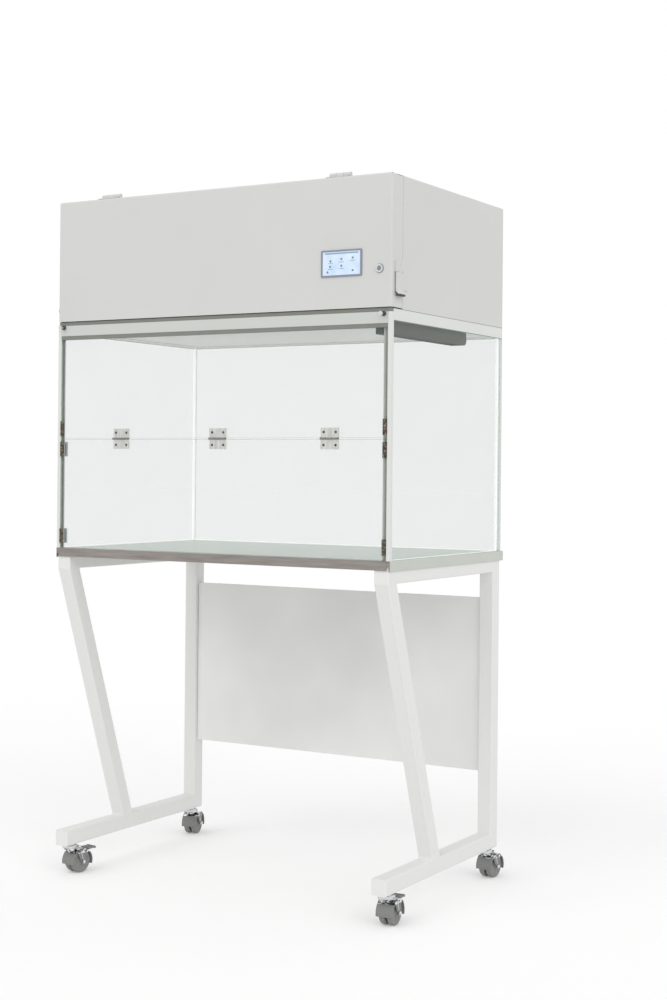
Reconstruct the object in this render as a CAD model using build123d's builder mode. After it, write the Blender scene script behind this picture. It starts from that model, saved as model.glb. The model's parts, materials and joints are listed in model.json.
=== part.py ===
"""Laminar flow hood on a wheeled stand.

A plenum housing with its fan and filters stands on a glass work chamber with a steel worktop, and
the chamber stands on two welded side frames with castors.  Millimetres, +Z up, +X to the operator's
right, +Y towards the rear wall.  The origin is on the floor, under the middle of the cabinet.
"""
from math import atan2, cos, radians, sin, sqrt
import os

from build123d import *

os.makedirs("parts", exist_ok=True)

# ---------------------------------------------------------------- driving dimensions
width = 1000.0              # cabinet, outside
depth = 620.0               # cabinet, outside, front plane to rear plane
stand_height = 850.0        # floor to the top of the side frames
chamber_height = 565.0      # worktop to the underside of the top frame
top_frame_height = 27.0
housing_height = 318.0
worktop_rise = 15.0         # worktop above the side frames

sheet = 1.5                 # folded sheet steel
glass = 6.0                 # toughened panes
seam_gap = 1.0              # between neighbouring folded sheets
fit_gap = 0.5               # between a pane or tray and what surrounds it
running_gap = 0.05          # radial, in a bore that turns on its shaft
corner_radius = 5.0         # folded corners of the housing

# stand
tube = 40.0                 # square tube of the side frames
tube_wall = 2.0
tube_corner = 3.5
frame_inset = 3.0           # tube faces inside the cabinet's outline
leg_rake = 240.0            # how far back the front leg's foot stands from its head
stem_setback = 35.0         # castor stem behind the end of the lower tube
panel_bottom = 282.0        # modesty panel
panel_height = 459.0
panel_gap = 1.0
panel_setback = 30.0        # panel face in front of the stand's rear plane
panel_flange = 15.0
panel_corner = 3.0
boss_radius = 6.0           # bosses that hold the modesty panel off the legs
boss_inset = 40.0

# castors
castor_height = 80.0
wheel_radius = 30.0
wheel_width = 16.0
wheel_space = 5.0           # between the two wheels of a castor
castor_trail = 28.0
axle_radius = 4.0
stem_radius = 5.0
stem_length = 24.0
stem_collar_radius = 15.0
stem_collar = 4.0
fork_disc_radius = 17.0
fork_disc = 9.0
hood_wall = 2.5
hood_gap = 1.5              # wheel tread to the hood over it
hood_drop = 10.0            # lower edge of the hood below the axle, at the rear
hood_front = 6.0            # lower edge of the hood below the axle, at the front
arm_width = 11.0            # fork arms outside the wheels
arm_thick = 2.5
arm_head = 20.0             # half the arm's width at the crown
axle_cap = 2.5
neck_width = 26.0
neck_length = 36.0
neck_shift = 10.0
pedal_length = 26.0
pedal_width = 30.0
pedal_thick = 4.0
pedal_lip = 3.2             # radius of the rolled edge
pedal_angle = 50.0          # pedal pivot above the axle, degrees from the trail
pedal_pivot_radius = 3.0
pedal_pin_radius = 1.5
ear_thick = 2.0

# base pan and worktop
pan_cheek = 8.0
pan_overhang = 20.0         # pan behind the cabinet's rear plane
pan_lap = 10.0              # skirt below the top of the side frames
pan_floor = 2.0
nosing_height = 23.0

# posts and panes
post_face = 10.0
post_depth = 12.0
post_flange = 6.0
post_flange_thick = 3.0
rear_post = 6.0
rear_post_wall = 2.0
pane_setback = 2.0          # front panes behind the front plane
sash_seam = 2.0             # gap between the two front panes
seam_rise = 9.0             # that gap above the middle of the opening
gasket_lip = 1.0
header_drop = 8.0           # header below the top frame's underside
header_gap = 8.0            # dark gap between header and cover
gasket_height = 10.0

# sash hinges, clips and catches
sash_hinge_left = 211.0     # hinge middles: from the left side,
sash_hinge_middle = 12.0    # right of the middle
sash_hinge_right = 165.0    # and from the right side
sash_hinge_width = 50.0
sash_hinge_leaf = 22.0
sash_hinge_thick = 2.0
sash_knuckle_radius = 3.5
sash_pin_radius = 1.5
sash_axis_out = 4.0         # hinge axis in front of the panes' face
knuckle_gap = 0.3           # between a barrel and the leaf or knuckle beside it
leaf_lap = 2.0              # barrel block over the leaf it is rolled from
screw_radius = 2.8
screw_head_height = 0.8
hinge_screw_row = 15.6      # screw row from the hinge axis
clip_height = 38.0
clip_width = 11.0
clip_thick = 3.0
clip_from_seam = 8.0
low_clip_from_edge = 12.0
magnet_depth = 6.0
stay_pin_radius = 3.0
stay_pin_length = 18.0
stay_pin_head = 5.0
stay_pin_head_thick = 3.0
stay_pin_inset = 10.0       # pins in from the header's ends
stay_pin_drop = 5.0         # and below its top edge

# top frame, filter, diffuser
frame_rail = 50.0           # width of the top frame's side and rear rails
frame_front_rail = 58.0
frame_sheet = 2.0
diffuser_lap = 10.0         # diffuser resting on the lower flange of the rails
filter_lap = 15.0           # filter resting on the upper flange of the rails
filter_height = 69.0
filter_wall = 14.0
filter_rebate = 4.0         # media below the edges of its frame
pleat_pitch = 20.0
media_thick = 3.0
diffuser_hole_columns = 13
diffuser_hole_rows = 6
diffuser_land = 14.0

# lamp under the right rail
lamp_width = 38.0
lamp_height = 32.0
lamp_length = 410.0
lamp_wall = 1.5
lamp_tube_radius = 8.0
lamp_tube_inset = 4.5       # tube above the open underside
lamp_holder = 14.0
lamp_from_side = 15.0
lamp_nose = 8.0

# housing, fan and prefilter
cover_return = 52.0
cover_gap = 3.0             # cover above the housing's underside
cover_top_return = 25.0
deck_height = 233.0         # fan deck above the housing's underside
deck_sheet = 2.0
bell_radius = 78.0
bell_flare = 10.0
bell_wall = 2.0
bell_slope = 3.0            # the flare's middle bend, in from its corner
bell_drop = 20.0
impeller_radius = 125.0
impeller_eye = 82.0
impeller_height = 80.0
impeller_disc = 3.0
impeller_below_deck = 97.0
blade_count = 9
blade_thick = 2.5
blade_inner = 72.0
blade_sweep = 42.0
hub_radius = 16.0
hub_height = 20.0
motor_radius = 50.0
motor_height = 46.0
shaft_radius = 6.0
motor_gap = 5.0             # motor's end to the impeller's disc
bracket_thick = 4.0
bracket_arm = 22.0
bracket_hanger = 8.0        # square hangers up to the deck
bracket_reach = 150.0
prefilter_length = 400.0
prefilter_width = 300.0
prefilter_thick = 20.0
tray_wall = 2.0
tray_lip = 8.0
grille_margin = 12.0
grille_slots = 12
grille_slot_width = 9.0

# cover fittings
cover_hinge_from_side = 155.0
cover_hinge_width = 58.0
cover_hinge_leaf = 22.0
cover_hinge_thick = 2.0
cover_knuckle_radius = 6.0
cover_pin_radius = 2.5
display_from_side = 136.0
display_level = 111.0       # above the housing's underside
display_width = 112.0
display_height = 64.0
display_proud = 2.5
display_depth = 16.0
screen_width = 103.0
screen_height = 56.0
screen_inset = 0.8
lock_from_side = 33.0
lock_level = 94.0
lock_radius = 10.0
lock_neck_radius = 9.0
lock_proud = 3.0
lock_plug_radius = 6.0
lock_length = 28.0
key_slot_width = 1.2
key_slot_height = 8.0
cam_length = 30.0
cam_width = 12.0
cam_thick = 3.0
strike_width = 22.0
strike_lip = 12.0
latch_level = 113.0         # top of the latch plate above the housing's underside
latch_from_front = 14.0
latch_width = 34.0
latch_plate = 25.0
latch_thick = 3.0
latch_lever = 55.0
latch_scoop = 8.0           # how far the finger lip flares out
latch_grip = 12.0           # height of the flared lip
latch_screw_drop = 8.0
latch_screw_space = 14.0
latch_pivot_radius = 2.6
latch_tooth = 14.0
keeper_clear = 2.5          # lever and keeper off the housing wall
latch_pin_radius = 1.2
keeper_height = 16.0
keeper_length = 22.0

# control unit and mains inlet
unit_width = 220.0
unit_height = 120.0
unit_depth = 38.0
inlet_from_side = 120.0
inlet_width = 50.0
inlet_height = 30.0
inlet_depth = 26.0
inlet_flange = 3.0
inlet_wall = 6.0            # round the recess that takes the plug
inlet_pin_width = 2.0
inlet_pin_height = 4.0
inlet_pin_space = 8.0
inlet_pin_inset = 3.0       # pin tips behind the rear plane

# ---------------------------------------------------------------- levels and planes
half = width / 2
front = -depth / 2
back = depth / 2
worktop_level = stand_height + worktop_rise
rail_level = worktop_level + chamber_height
housing_level = rail_level + top_frame_height
top_level = housing_level + housing_height
lower_tube_top = castor_height + tube
upper_tube_bottom = stand_height - tube
tube_outer = half - frame_inset
tube_inner = tube_outer - tube
stand_front = front + frame_inset
stem_x = tube_outer - tube / 2
front_stem_y = stand_front + stem_setback
rear_stem_y = back - stem_setback
header_bottom = rail_level - header_drop
header_top = housing_level - header_gap
sash_bottom = worktop_level + fit_gap
sash_top = header_bottom - sash_seam
seam_level = (sash_bottom + sash_top) / 2 + seam_rise
pane_face = front + pane_setback
pane_back = pane_face + glass
sash_half = half - post_face - fit_gap
sash_axis_y = pane_face - sash_axis_out
sash_hinge_places = (-half + sash_hinge_left, sash_hinge_middle, half - sash_hinge_right)
side_pane = half - pan_cheek + fit_gap
ring_front = front + post_depth
opening_half = half - frame_rail
opening_front = ring_front + frame_front_rail
opening_back = back - frame_rail
plenum_front = front + cover_return + seam_gap
deck_level = housing_level + deck_height
impeller_level = deck_level - impeller_below_deck
cover_axis_y = front + cover_top_return
cover_axis_z = top_level + cover_hinge_thick + cover_knuckle_radius
display_place = half - display_from_side
display_z = housing_level + display_level
lock_place = half - lock_from_side
lock_z = housing_level + lock_level
latch_front = front + latch_from_front
latch_back = latch_front + latch_width
latch_top = housing_level + latch_level
latch_pivot_z = latch_top - latch_plate
latch_pivot_out = half + latch_pivot_radius + fit_gap
latch_bottom = latch_pivot_z - latch_lever


def save(part, label):
    """Name a finished piece and write it to its own STEP file."""
    part.label = label
    export_step(part, f"parts/{label}.step")


def block(x0, x1, y0, y1, z0, z1, mode=Mode.ADD):
    """A rectangular block between six faces, inside the builder that is open."""
    with Locations(((x0 + x1) / 2, (y0 + y1) / 2, (z0 + z1) / 2)):
        Box(abs(x1 - x0), abs(y1 - y0), abs(z1 - z0), mode=mode)


def rod(x, y, z, direction, radius, length, mode=Mode.ADD):
    """A round rod from a point along a direction, inside the builder that is open."""
    with BuildSketch(Plane(origin=(x, y, z), z_dir=direction)) as section:
        Circle(radius)
    extrude(section.sketch, amount=length, mode=mode)


def screw_head(x, y, z, direction):
    """A low hexagon screw head standing on a face, inside the builder that is open."""
    with BuildSketch(Plane(origin=(x, y, z), z_dir=direction)) as section:
        RegularPolygon(screw_radius, 6)
    extrude(section.sketch, amount=screw_head_height)


# ---------------------------------------------------------------- side frames of the stand
panel_face = back - panel_setback
panel_half = tube_inner - panel_gap
panel_middle = panel_bottom + panel_height / 2


def side_frame(side, label):
    """Four lengths of square tube welded into one frame, hollow, with stem holes for the castors."""
    leg_slope = leg_rake / (upper_tube_bottom - lower_tube_top)
    leg_step = tube / cos(atan2(leg_rake, upper_tube_bottom - lower_tube_top))

    def outline(inset):
        """The frame seen from the side, drawn inset by a wall or by nothing."""
        leg_in = inset * leg_step / tube
        for low, high in ((castor_height, lower_tube_top), (upper_tube_bottom, stand_height)):
            with Locations(((stand_front + back) / 2, (low + high) / 2)):
                Rectangle(back - stand_front - 2 * inset, high - low - 2 * inset)
        with Locations((back - tube / 2, (castor_height + stand_height) / 2)):
            Rectangle(tube - 2 * inset, stand_height - castor_height - 2 * inset)
        low = lower_tube_top - inset
        high = upper_tube_bottom + inset
        foot = stand_front + (upper_tube_bottom - low) * leg_slope
        head = stand_front + (upper_tube_bottom - high) * leg_slope
        with BuildLine() as leg:
            Polyline(
                (head + leg_in, high),
                (foot + leg_in, low),
                (foot + leg_step - leg_in, low),
                (head + leg_step - leg_in, high),
                close=True,
            )
        make_face(leg.line)

    outer = side * tube_outer
    with BuildPart() as frame:
        with BuildSketch(Plane.YZ.offset(outer)):
            outline(0)
        extrude(amount=-side * tube)
        edges = frame.faces().sort_by(Axis.X)[-1].edges() + frame.faces().sort_by(Axis.X)[0].edges()
        fillet(edges, tube_corner)
        with BuildSketch(Plane.YZ.offset(outer - side * tube_wall)):
            outline(tube_wall)
        extrude(amount=-side * (tube - 2 * tube_wall), mode=Mode.SUBTRACT)
        for stem_y in (front_stem_y, rear_stem_y):
            rod(side * stem_x, stem_y, castor_height, (0, 0, 1), stem_radius, tube_wall, Mode.SUBTRACT)
        for level in (panel_bottom + boss_inset, panel_bottom + panel_height - boss_inset):
            rod(side * tube_inner, panel_face + panel_flange / 2, level, (-side, 0, 0), boss_radius,
                panel_gap)
    save(frame.part, label)


side_frame(-1, "left_side_frame")
side_frame(1, "right_side_frame")

# ---------------------------------------------------------------- modesty panel
with BuildPart() as modesty_panel:
    with BuildSketch(Plane.XZ.offset(-panel_face)):
        with Locations((0, panel_middle)):
            RectangleRounded(2 * panel_half, panel_height, panel_corner)
    extrude(amount=-panel_flange)
    with BuildSketch(Plane.XZ.offset(-panel_face - sheet)):
        with Locations((0, panel_middle)):
            RectangleRounded(2 * (panel_half - sheet), panel_height - 2 * sheet, panel_corner - sheet)
    extrude(amount=-panel_flange, mode=Mode.SUBTRACT)
save(modesty_panel.part, "modesty_panel")

# ---------------------------------------------------------------- castors
disc_top = castor_height - stem_collar
disc_bottom = disc_top - fork_disc
hood_inner = wheel_radius + hood_gap
hood_outer = hood_inner + hood_wall
hub_half = wheel_space / 2 + wheel_width
web_half = wheel_space / 2 - hood_gap
arm_outer = hub_half + hood_gap + arm_thick
pedal_pivot_out = hood_outer + pedal_pivot_radius + fit_gap
pedal_back = castor_trail + pedal_pivot_out * cos(radians(pedal_angle))
pedal_level = wheel_radius + pedal_pivot_out * sin(radians(pedal_angle))

castors = {
    "front_left": (-stem_x, front_stem_y, 8.0, True),
    "front_right": (stem_x, front_stem_y, -4.0, True),
    "rear_left": (-stem_x, rear_stem_y, -14.0, False),
    "rear_right": (stem_x, rear_stem_y, 6.0, False),
}

with BuildPart() as castor_stems:
    for stem_x_place, stem_y_place, heading, braked in castors.values():
        rod(stem_x_place, stem_y_place, disc_top, (0, 0, 1), stem_collar_radius, stem_collar)
        rod(stem_x_place, stem_y_place, disc_top, (0, 0, 1), stem_radius, stem_collar + stem_length)
save(castor_stems.part, "castor_stems")


def castor(label, x, y, heading, braked):
    """The fork with its axle, the two wheels and, when braked, the pedal, trailing along the heading."""
    back_dir = Vector(sin(radians(heading)), cos(radians(heading)), 0)
    side_dir = Vector(cos(radians(heading)), -sin(radians(heading)), 0)

    def place(across, along, level):
        """A point given across the wheels, along the trail and above the floor."""
        return Vector(x, y, level) + side_dir * across + back_dir * along

    def side_plane(across, along=castor_trail, level=wheel_radius):
        """A sketch plane square to the axle: its X runs along the trail, its Y is up."""
        return Plane(origin=place(across, along, level), x_dir=back_dir, z_dir=side_dir)

    with BuildPart() as fork:
        with BuildSketch(Plane(origin=place(0, 0, disc_bottom), z_dir=(0, 0, 1))):
            Circle(fork_disc_radius)
        extrude(amount=fork_disc)
        neck_bottom = wheel_radius + hood_inner
        with BuildSketch(Plane(origin=place(0, neck_shift, neck_bottom), x_dir=side_dir, z_dir=(0, 0, 1))):
            Rectangle(neck_width, neck_length)
        extrude(amount=disc_bottom + fork_disc / 2 - neck_bottom)
        with BuildSketch(side_plane(-arm_outer)):
            Circle(hood_outer)
            Circle(hood_inner, mode=Mode.SUBTRACT)
            with Locations((0, -hood_drop)):
                Rectangle(hood_outer, hood_outer, align=(Align.MIN, Align.MAX), mode=Mode.SUBTRACT)
            with Locations((0, -hood_front)):
                Rectangle(hood_outer, hood_outer, align=(Align.MAX, Align.MAX), mode=Mode.SUBTRACT)
        extrude(amount=2 * arm_outer)
        for inner in (-arm_outer, hub_half + hood_gap):
            with BuildSketch(side_plane(inner)):
                with BuildLine():
                    crown = sqrt(hood_outer**2 - arm_head**2)
                    crown_right = Line((arm_width / 2, 0), (arm_head, crown))
                    ThreePointArc(crown_right @ 1, (0, hood_outer), (-arm_head, crown))
                    Line((-arm_head, crown), (-arm_width / 2, 0))
                    Line((-arm_width / 2, 0), (arm_width / 2, 0))
                make_face()
            extrude(amount=arm_thick)
        with BuildSketch(side_plane(-web_half)):
            with Locations((0, -axle_radius - web_half)):
                Rectangle(neck_width, hood_outer, align=(Align.CENTER, Align.MIN))
        extrude(amount=2 * web_half)
        with BuildSketch(side_plane(-arm_outer - axle_cap)):
            Circle(axle_radius)
        extrude(amount=2 * (arm_outer + axle_cap))
        if braked:
            for ear in (-pedal_width / 2 - ear_thick - fit_gap, pedal_width / 2 + fit_gap):
                with BuildSketch(side_plane(ear)):
                    with Locations(Location((0, 0), pedal_angle)):
                        with Locations((hood_inner, 0)):
                            Rectangle(pedal_pivot_out - hood_inner, 2 * pedal_pivot_radius,
                                      align=(Align.MIN, Align.CENTER))
                        with Locations((pedal_pivot_out, 0)):
                            Circle(pedal_pivot_radius)
                extrude(amount=ear_thick)
            with BuildSketch(side_plane(-pedal_width / 2 - fit_gap, pedal_back, pedal_level)):
                Circle(pedal_pin_radius)
            extrude(amount=pedal_width + 2 * fit_gap)
    save(fork.part, f"{label}_fork")

    with BuildPart() as wheels:
        for inner in (-hub_half, wheel_space / 2):
            with BuildSketch(side_plane(inner)):
                Circle(wheel_radius)
            extrude(amount=wheel_width)
        with BuildSketch(side_plane(-hub_half)):
            Circle(axle_radius + running_gap)
        extrude(amount=2 * hub_half, mode=Mode.SUBTRACT)
    save(wheels.part, f"{label}_wheels")

    if braked:
        with BuildPart() as pedal:
            with BuildSketch(side_plane(-pedal_width / 2, pedal_back, pedal_level)):
                Circle(pedal_pivot_radius)
                Rectangle(pedal_length, pedal_thick, align=(Align.MIN, Align.CENTER))
                with Locations((pedal_length, 0)):
                    Circle(pedal_lip)
                Circle(pedal_pin_radius + running_gap, mode=Mode.SUBTRACT)
            extrude(amount=pedal_width)
        save(pedal.part, f"{label}_pedal")


for castor_name, (castor_x, castor_y, heading, braked) in castors.items():
    castor(castor_name, castor_x, castor_y, heading, braked)

# ---------------------------------------------------------------- base pan and worktop
pan_back = back + pan_overhang
pan_bottom = stand_height - pan_lap
well_half = half - pan_cheek
well_back = pan_back - pan_cheek
nosing = sheet + fit_gap

with BuildPart() as base_pan:
    block(-half, half, front, pan_back, pan_bottom, worktop_level)
    fillet(base_pan.edges().filter_by(Axis.Z).group_by(Axis.Y)[-1], pan_cheek)
    block(-well_half, well_half, front, well_back, stand_height + pan_floor, worktop_level, Mode.SUBTRACT)
    block(-well_half, well_half, front, front + nosing, pan_bottom, worktop_level, Mode.SUBTRACT)
    block(-half + sheet, half - sheet, front, pan_back - sheet, pan_bottom, stand_height, Mode.SUBTRACT)
save(base_pan.part, "base_pan")

top_half = well_half - fit_gap
top_back = well_back - fit_gap
with BuildPart() as worktop:
    block(-top_half, top_half, front, top_back, stand_height + pan_floor, worktop_level)
    fillet(worktop.faces().sort_by(Axis.Z)[-1].edges().group_by(Axis.Y)[0], sheet)
    block(-top_half + sheet, top_half - sheet, front + sheet, top_back - sheet,
          stand_height + pan_floor, worktop_level - sheet, Mode.SUBTRACT)
    block(-top_half, top_half, front, front + sheet, worktop_level - nosing_height, stand_height + pan_floor)
save(worktop.part, "worktop")

# ---------------------------------------------------------------- corner posts
with BuildPart() as front_posts:
    for side in (-1, 1):
        inner_face = side * (half - post_face)
        block(side * half, inner_face, front, ring_front, worktop_level, header_top)
        block(inner_face, inner_face - side * post_flange, ring_front - post_flange_thick, ring_front,
              worktop_level, header_bottom)
    front_edges = front_posts.edges().filter_by(Axis.Z).filter_by_position(Axis.Y, front - 1, front + 1)
    fillet(front_edges, pane_setback)
save(front_posts.part, "front_posts")

rear_face = back - glass
with BuildPart() as rear_posts:
    for side in (-1, 1):
        outside = side * side_pane
        block(outside, outside - side * rear_post, rear_face - rear_post_wall, rear_face,
              worktop_level, rail_level)
        block(outside, outside - side * rear_post_wall, rear_face - rear_post, rear_face,
              worktop_level, rail_level)
save(rear_posts.part, "rear_posts")

# ---------------------------------------------------------------- panes
for side, side_name in ((-1, "left"), (1, "right")):
    with BuildPart() as side_glass:
        block(side * side_pane, side * (side_pane + glass), ring_front, back, worktop_level, rail_level)
    save(side_glass.part, f"{side_name}_side_glass")

with BuildPart() as rear_glass:
    block(-side_pane, side_pane, back - glass, back, worktop_level, rail_level)
save(rear_glass.part, "rear_glass")

with BuildPart() as upper_sash:
    block(-sash_half, sash_half, pane_face, pane_back, seam_level + sash_seam / 2, sash_top)
save(upper_sash.part, "upper_sash")

with BuildPart() as lower_sash:
    block(-sash_half, sash_half, pane_face, pane_back, sash_bottom, seam_level - sash_seam / 2)
save(lower_sash.part, "lower_sash")

# ---------------------------------------------------------------- gaskets
strip_back = ring_front - post_flange_thick
with BuildPart() as gaskets:
    block(-half + post_face, half - post_face, front + gasket_lip, strip_back,
          header_bottom - gasket_height, header_bottom)
    block(-half + post_face, half - post_face, pane_face, pane_back,
          header_bottom - gasket_height, sash_top, Mode.SUBTRACT)
    for side in (-1, 1):
        block(side * (half - post_face), side * (half - post_face - post_flange), pane_back, strip_back,
              worktop_level, header_bottom - gasket_height)
save(gaskets.part, "gaskets")

# ---------------------------------------------------------------- sash hinges
third = sash_hinge_width / 3
leaf_face = pane_face - sash_hinge_thick


def sash_leaf(place, direction, knuckles, bore):
    """One hinge leaf on the panes' face, with its barrel segments, inside the open builder."""
    root = seam_level + direction * (sash_knuckle_radius + knuckle_gap)
    with BuildSketch(Plane.XZ.offset(-leaf_face)) as leaf:
        with Locations((place, root + direction * sash_hinge_leaf / 2)):
            Rectangle(sash_hinge_width, sash_hinge_leaf)
    extrude(leaf.sketch, amount=-sash_hinge_thick)
    for start in knuckles:
        left = place - sash_hinge_width / 2 + start * third + knuckle_gap
        right = left + third - 2 * knuckle_gap
        block(left, right, leaf_face, pane_face, seam_level, root + direction * leaf_lap)
        rod(left, sash_axis_y, seam_level, (1, 0, 0), sash_knuckle_radius, right - left)
    rod(place - sash_hinge_width / 2, sash_axis_y, seam_level, (1, 0, 0), sash_pin_radius + bore,
        sash_hinge_width, Mode.SUBTRACT if bore else Mode.ADD)


with BuildPart() as upper_hinge_leaves:
    for place in sash_hinge_places:
        sash_leaf(place, 1, (0, 2), 0)
save(upper_hinge_leaves.part, "upper_hinge_leaves")

with BuildPart() as lower_hinge_leaves:
    for place in sash_hinge_places:
        sash_leaf(place, -1, (1,), running_gap)
save(lower_hinge_leaves.part, "lower_hinge_leaves")


# ---------------------------------------------------------------- clips, catches and their screws
clip_x = half - post_face - clip_width / 2
upper_clip_level = seam_level + clip_from_seam + clip_height / 2
plate_levels = (
    seam_level - clip_from_seam - clip_height / 2,
    sash_bottom + low_clip_from_edge + clip_height / 2,
)


def clip_plate(side, level):
    """A narrow two-screw plate on the panes' face, inside the open builder."""
    with BuildSketch(Plane.XZ.offset(-pane_face)) as plate:
        with Locations((side * clip_x, level)):
            Rectangle(clip_width - fit_gap, clip_height)
    extrude(plate.sketch, amount=clip_thick)


with BuildPart() as upper_sash_clips:
    for side in (-1, 1):
        clip_plate(side, upper_clip_level)
save(upper_sash_clips.part, "upper_sash_clips")

with BuildPart() as catch_plates:
    for side in (-1, 1):
        for level in plate_levels:
            clip_plate(side, level)
save(catch_plates.part, "catch_plates")

with BuildPart() as catch_magnets:
    for side in (-1, 1):
        for level in plate_levels:
            block(side * (clip_x - clip_width / 2), side * (clip_x + clip_width / 2), ring_front,
                  ring_front + magnet_depth, level - clip_height / 2, level + clip_height / 2)
save(catch_magnets.part, "catch_magnets")


def clip_screws(side, level):
    """The two screw heads of a clip plate, inside the open builder."""
    for offset in (-clip_height / 4, clip_height / 4):
        screw_head(side * clip_x, pane_face - clip_thick, level + offset, (0, -1, 0))


def hinge_screws(direction):
    """The screw heads on every sash hinge leaf above or below the seam, inside the open builder."""
    level = seam_level + direction * hinge_screw_row
    for place in sash_hinge_places:
        for offset in (-sash_hinge_width / 3, sash_hinge_width / 3):
            screw_head(place + offset, leaf_face, level, (0, -1, 0))


with BuildPart() as cabinet_screws:
    hinge_screws(1)
    for side in (-1, 1):
        clip_screws(side, upper_clip_level)
save(cabinet_screws.part, "cabinet_screws")

with BuildPart() as sash_screws:
    hinge_screws(-1)
    for side in (-1, 1):
        for level in plate_levels:
            clip_screws(side, level)
save(sash_screws.part, "sash_screws")

# ---------------------------------------------------------------- top frame and header
with BuildPart() as top_frame:
    block(-half, half, ring_front, back, rail_level, housing_level)
    fillet(top_frame.edges().filter_by(Axis.Z).group_by(Axis.Y)[-1], corner_radius)
    block(-opening_half, opening_half, opening_front, opening_back, rail_level, housing_level, Mode.SUBTRACT)
    block(-half + frame_sheet, half - frame_sheet, ring_front + frame_sheet, back - frame_sheet,
          rail_level + frame_sheet, housing_level - frame_sheet, Mode.SUBTRACT)
save(top_frame.part, "top_frame")

header_half = half - post_face
with BuildPart() as header:
    block(-header_half, header_half, front, ring_front, header_bottom, header_top)
    block(-header_half, header_half, front + sheet, ring_front, header_bottom + sheet, header_top - sheet,
          Mode.SUBTRACT)
save(header.part, "header")

stay_x = header_half - stay_pin_inset
stay_level = header_top - stay_pin_drop
with BuildPart() as sash_stay_pins:
    for side in (-1, 1):
        rod(side * stay_x, front, stay_level, (0, -1, 0), stay_pin_radius, stay_pin_length)
        rod(side * stay_x, front - stay_pin_length + stay_pin_head_thick, stay_level, (0, -1, 0),
            stay_pin_head, stay_pin_head_thick)
save(sash_stay_pins.part, "sash_stay_pins")

# ---------------------------------------------------------------- lamp
lamp_side = half - lamp_from_side
lamp_inner = lamp_side - lamp_width
lamp_front = ring_front + lamp_nose
lamp_back = lamp_front + lamp_length
lamp_bottom = rail_level - lamp_height
lamp_axis_x = (lamp_side + lamp_inner) / 2
lamp_axis_z = lamp_bottom + lamp_tube_radius + lamp_tube_inset

with BuildPart() as lamp_housing:
    with BuildSketch(Plane.YZ.offset(lamp_inner)):
        with BuildLine():
            Polyline(
                (lamp_front, lamp_bottom),
                (lamp_back - lamp_nose, lamp_bottom),
                (lamp_back, lamp_bottom + lamp_nose),
                (lamp_back, rail_level),
                (lamp_front, rail_level),
                close=True,
            )
        make_face()
    extrude(amount=lamp_width)
    block(lamp_inner + lamp_wall, lamp_side - lamp_wall, lamp_front + lamp_holder, lamp_back - lamp_holder,
          lamp_bottom, rail_level - lamp_wall, Mode.SUBTRACT)
save(lamp_housing.part, "lamp_housing")

with BuildPart() as lamp_tube:
    rod(lamp_axis_x, lamp_front + lamp_holder, lamp_axis_z, (0, 1, 0), lamp_tube_radius,
        lamp_length - 2 * lamp_holder)
save(lamp_tube.part, "lamp_tube")

# ---------------------------------------------------------------- diffuser and main filter
diffuser_half = opening_half + diffuser_lap - fit_gap
diffuser_front = opening_front - diffuser_lap + fit_gap
diffuser_back = opening_back + diffuser_lap - fit_gap
hole_pitch_x = 2 * (opening_half - diffuser_land) / diffuser_hole_columns
hole_pitch_y = (opening_back - opening_front - 2 * diffuser_land) / diffuser_hole_rows
opening_middle = (opening_front + opening_back) / 2

with BuildPart() as diffuser:
    block(-diffuser_half, diffuser_half, diffuser_front, diffuser_back,
          rail_level + frame_sheet, rail_level + 2 * frame_sheet)
    with BuildSketch(Plane.XY.offset(rail_level + frame_sheet)):
        with Locations((0, opening_middle)):
            with GridLocations(hole_pitch_x, hole_pitch_y, diffuser_hole_columns, diffuser_hole_rows):
                Rectangle(hole_pitch_x - diffuser_land, hole_pitch_y - diffuser_land)
    extrude(amount=frame_sheet, mode=Mode.SUBTRACT)
save(diffuser.part, "diffuser")

filter_half = opening_half + filter_lap
filter_front = opening_front - filter_lap
filter_back = opening_back + filter_lap
filter_top = housing_level + filter_height
with BuildPart() as filter_frame:
    block(-filter_half, filter_half, filter_front, filter_back, housing_level, filter_top)
    block(-filter_half + filter_wall, filter_half - filter_wall, filter_front + filter_wall,
          filter_back - filter_wall, housing_level, filter_top, Mode.SUBTRACT)
save(filter_frame.part, "filter_frame")

media_half = filter_half - filter_wall
media_low = housing_level + filter_rebate
media_high = filter_top - filter_rebate
pleats = int(2 * media_half / pleat_pitch)
pleat_width = 2 * media_half / pleats
with BuildPart() as filter_media:
    with BuildSketch(Plane.XZ.offset(-filter_front - filter_wall)):
        with BuildLine():
            lower = [
                (-media_half + i * pleat_width / 2, media_low if i % 2 == 0 else media_high - media_thick)
                for i in range(2 * pleats + 1)
            ]
            upper = [(x, z + media_thick) for x, z in reversed(lower)]
            Polyline(*lower, *upper, close=True)
        make_face()
    extrude(amount=-(filter_back - filter_front - 2 * filter_wall))
save(filter_media.part, "filter_media")

# ---------------------------------------------------------------- plenum housing
intake_half = prefilter_length / 2
intake_middle = (plenum_front + back) / 2
intake_front = intake_middle - prefilter_width / 2
intake_back = intake_middle + prefilter_width / 2
inlet_place = half - inlet_from_side
inlet_z = housing_level + deck_height / 2

panel_back = plenum_front + sheet
tray_top = top_level - sheet
tray_bottom = tray_top - prefilter_thick - tray_wall
keeper_bottom = latch_bottom + latch_grip
strike_face = front + lock_length - fit_gap - frame_sheet
strike_foot = lock_z - cam_length - cam_width / 2 - seam_gap

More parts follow.
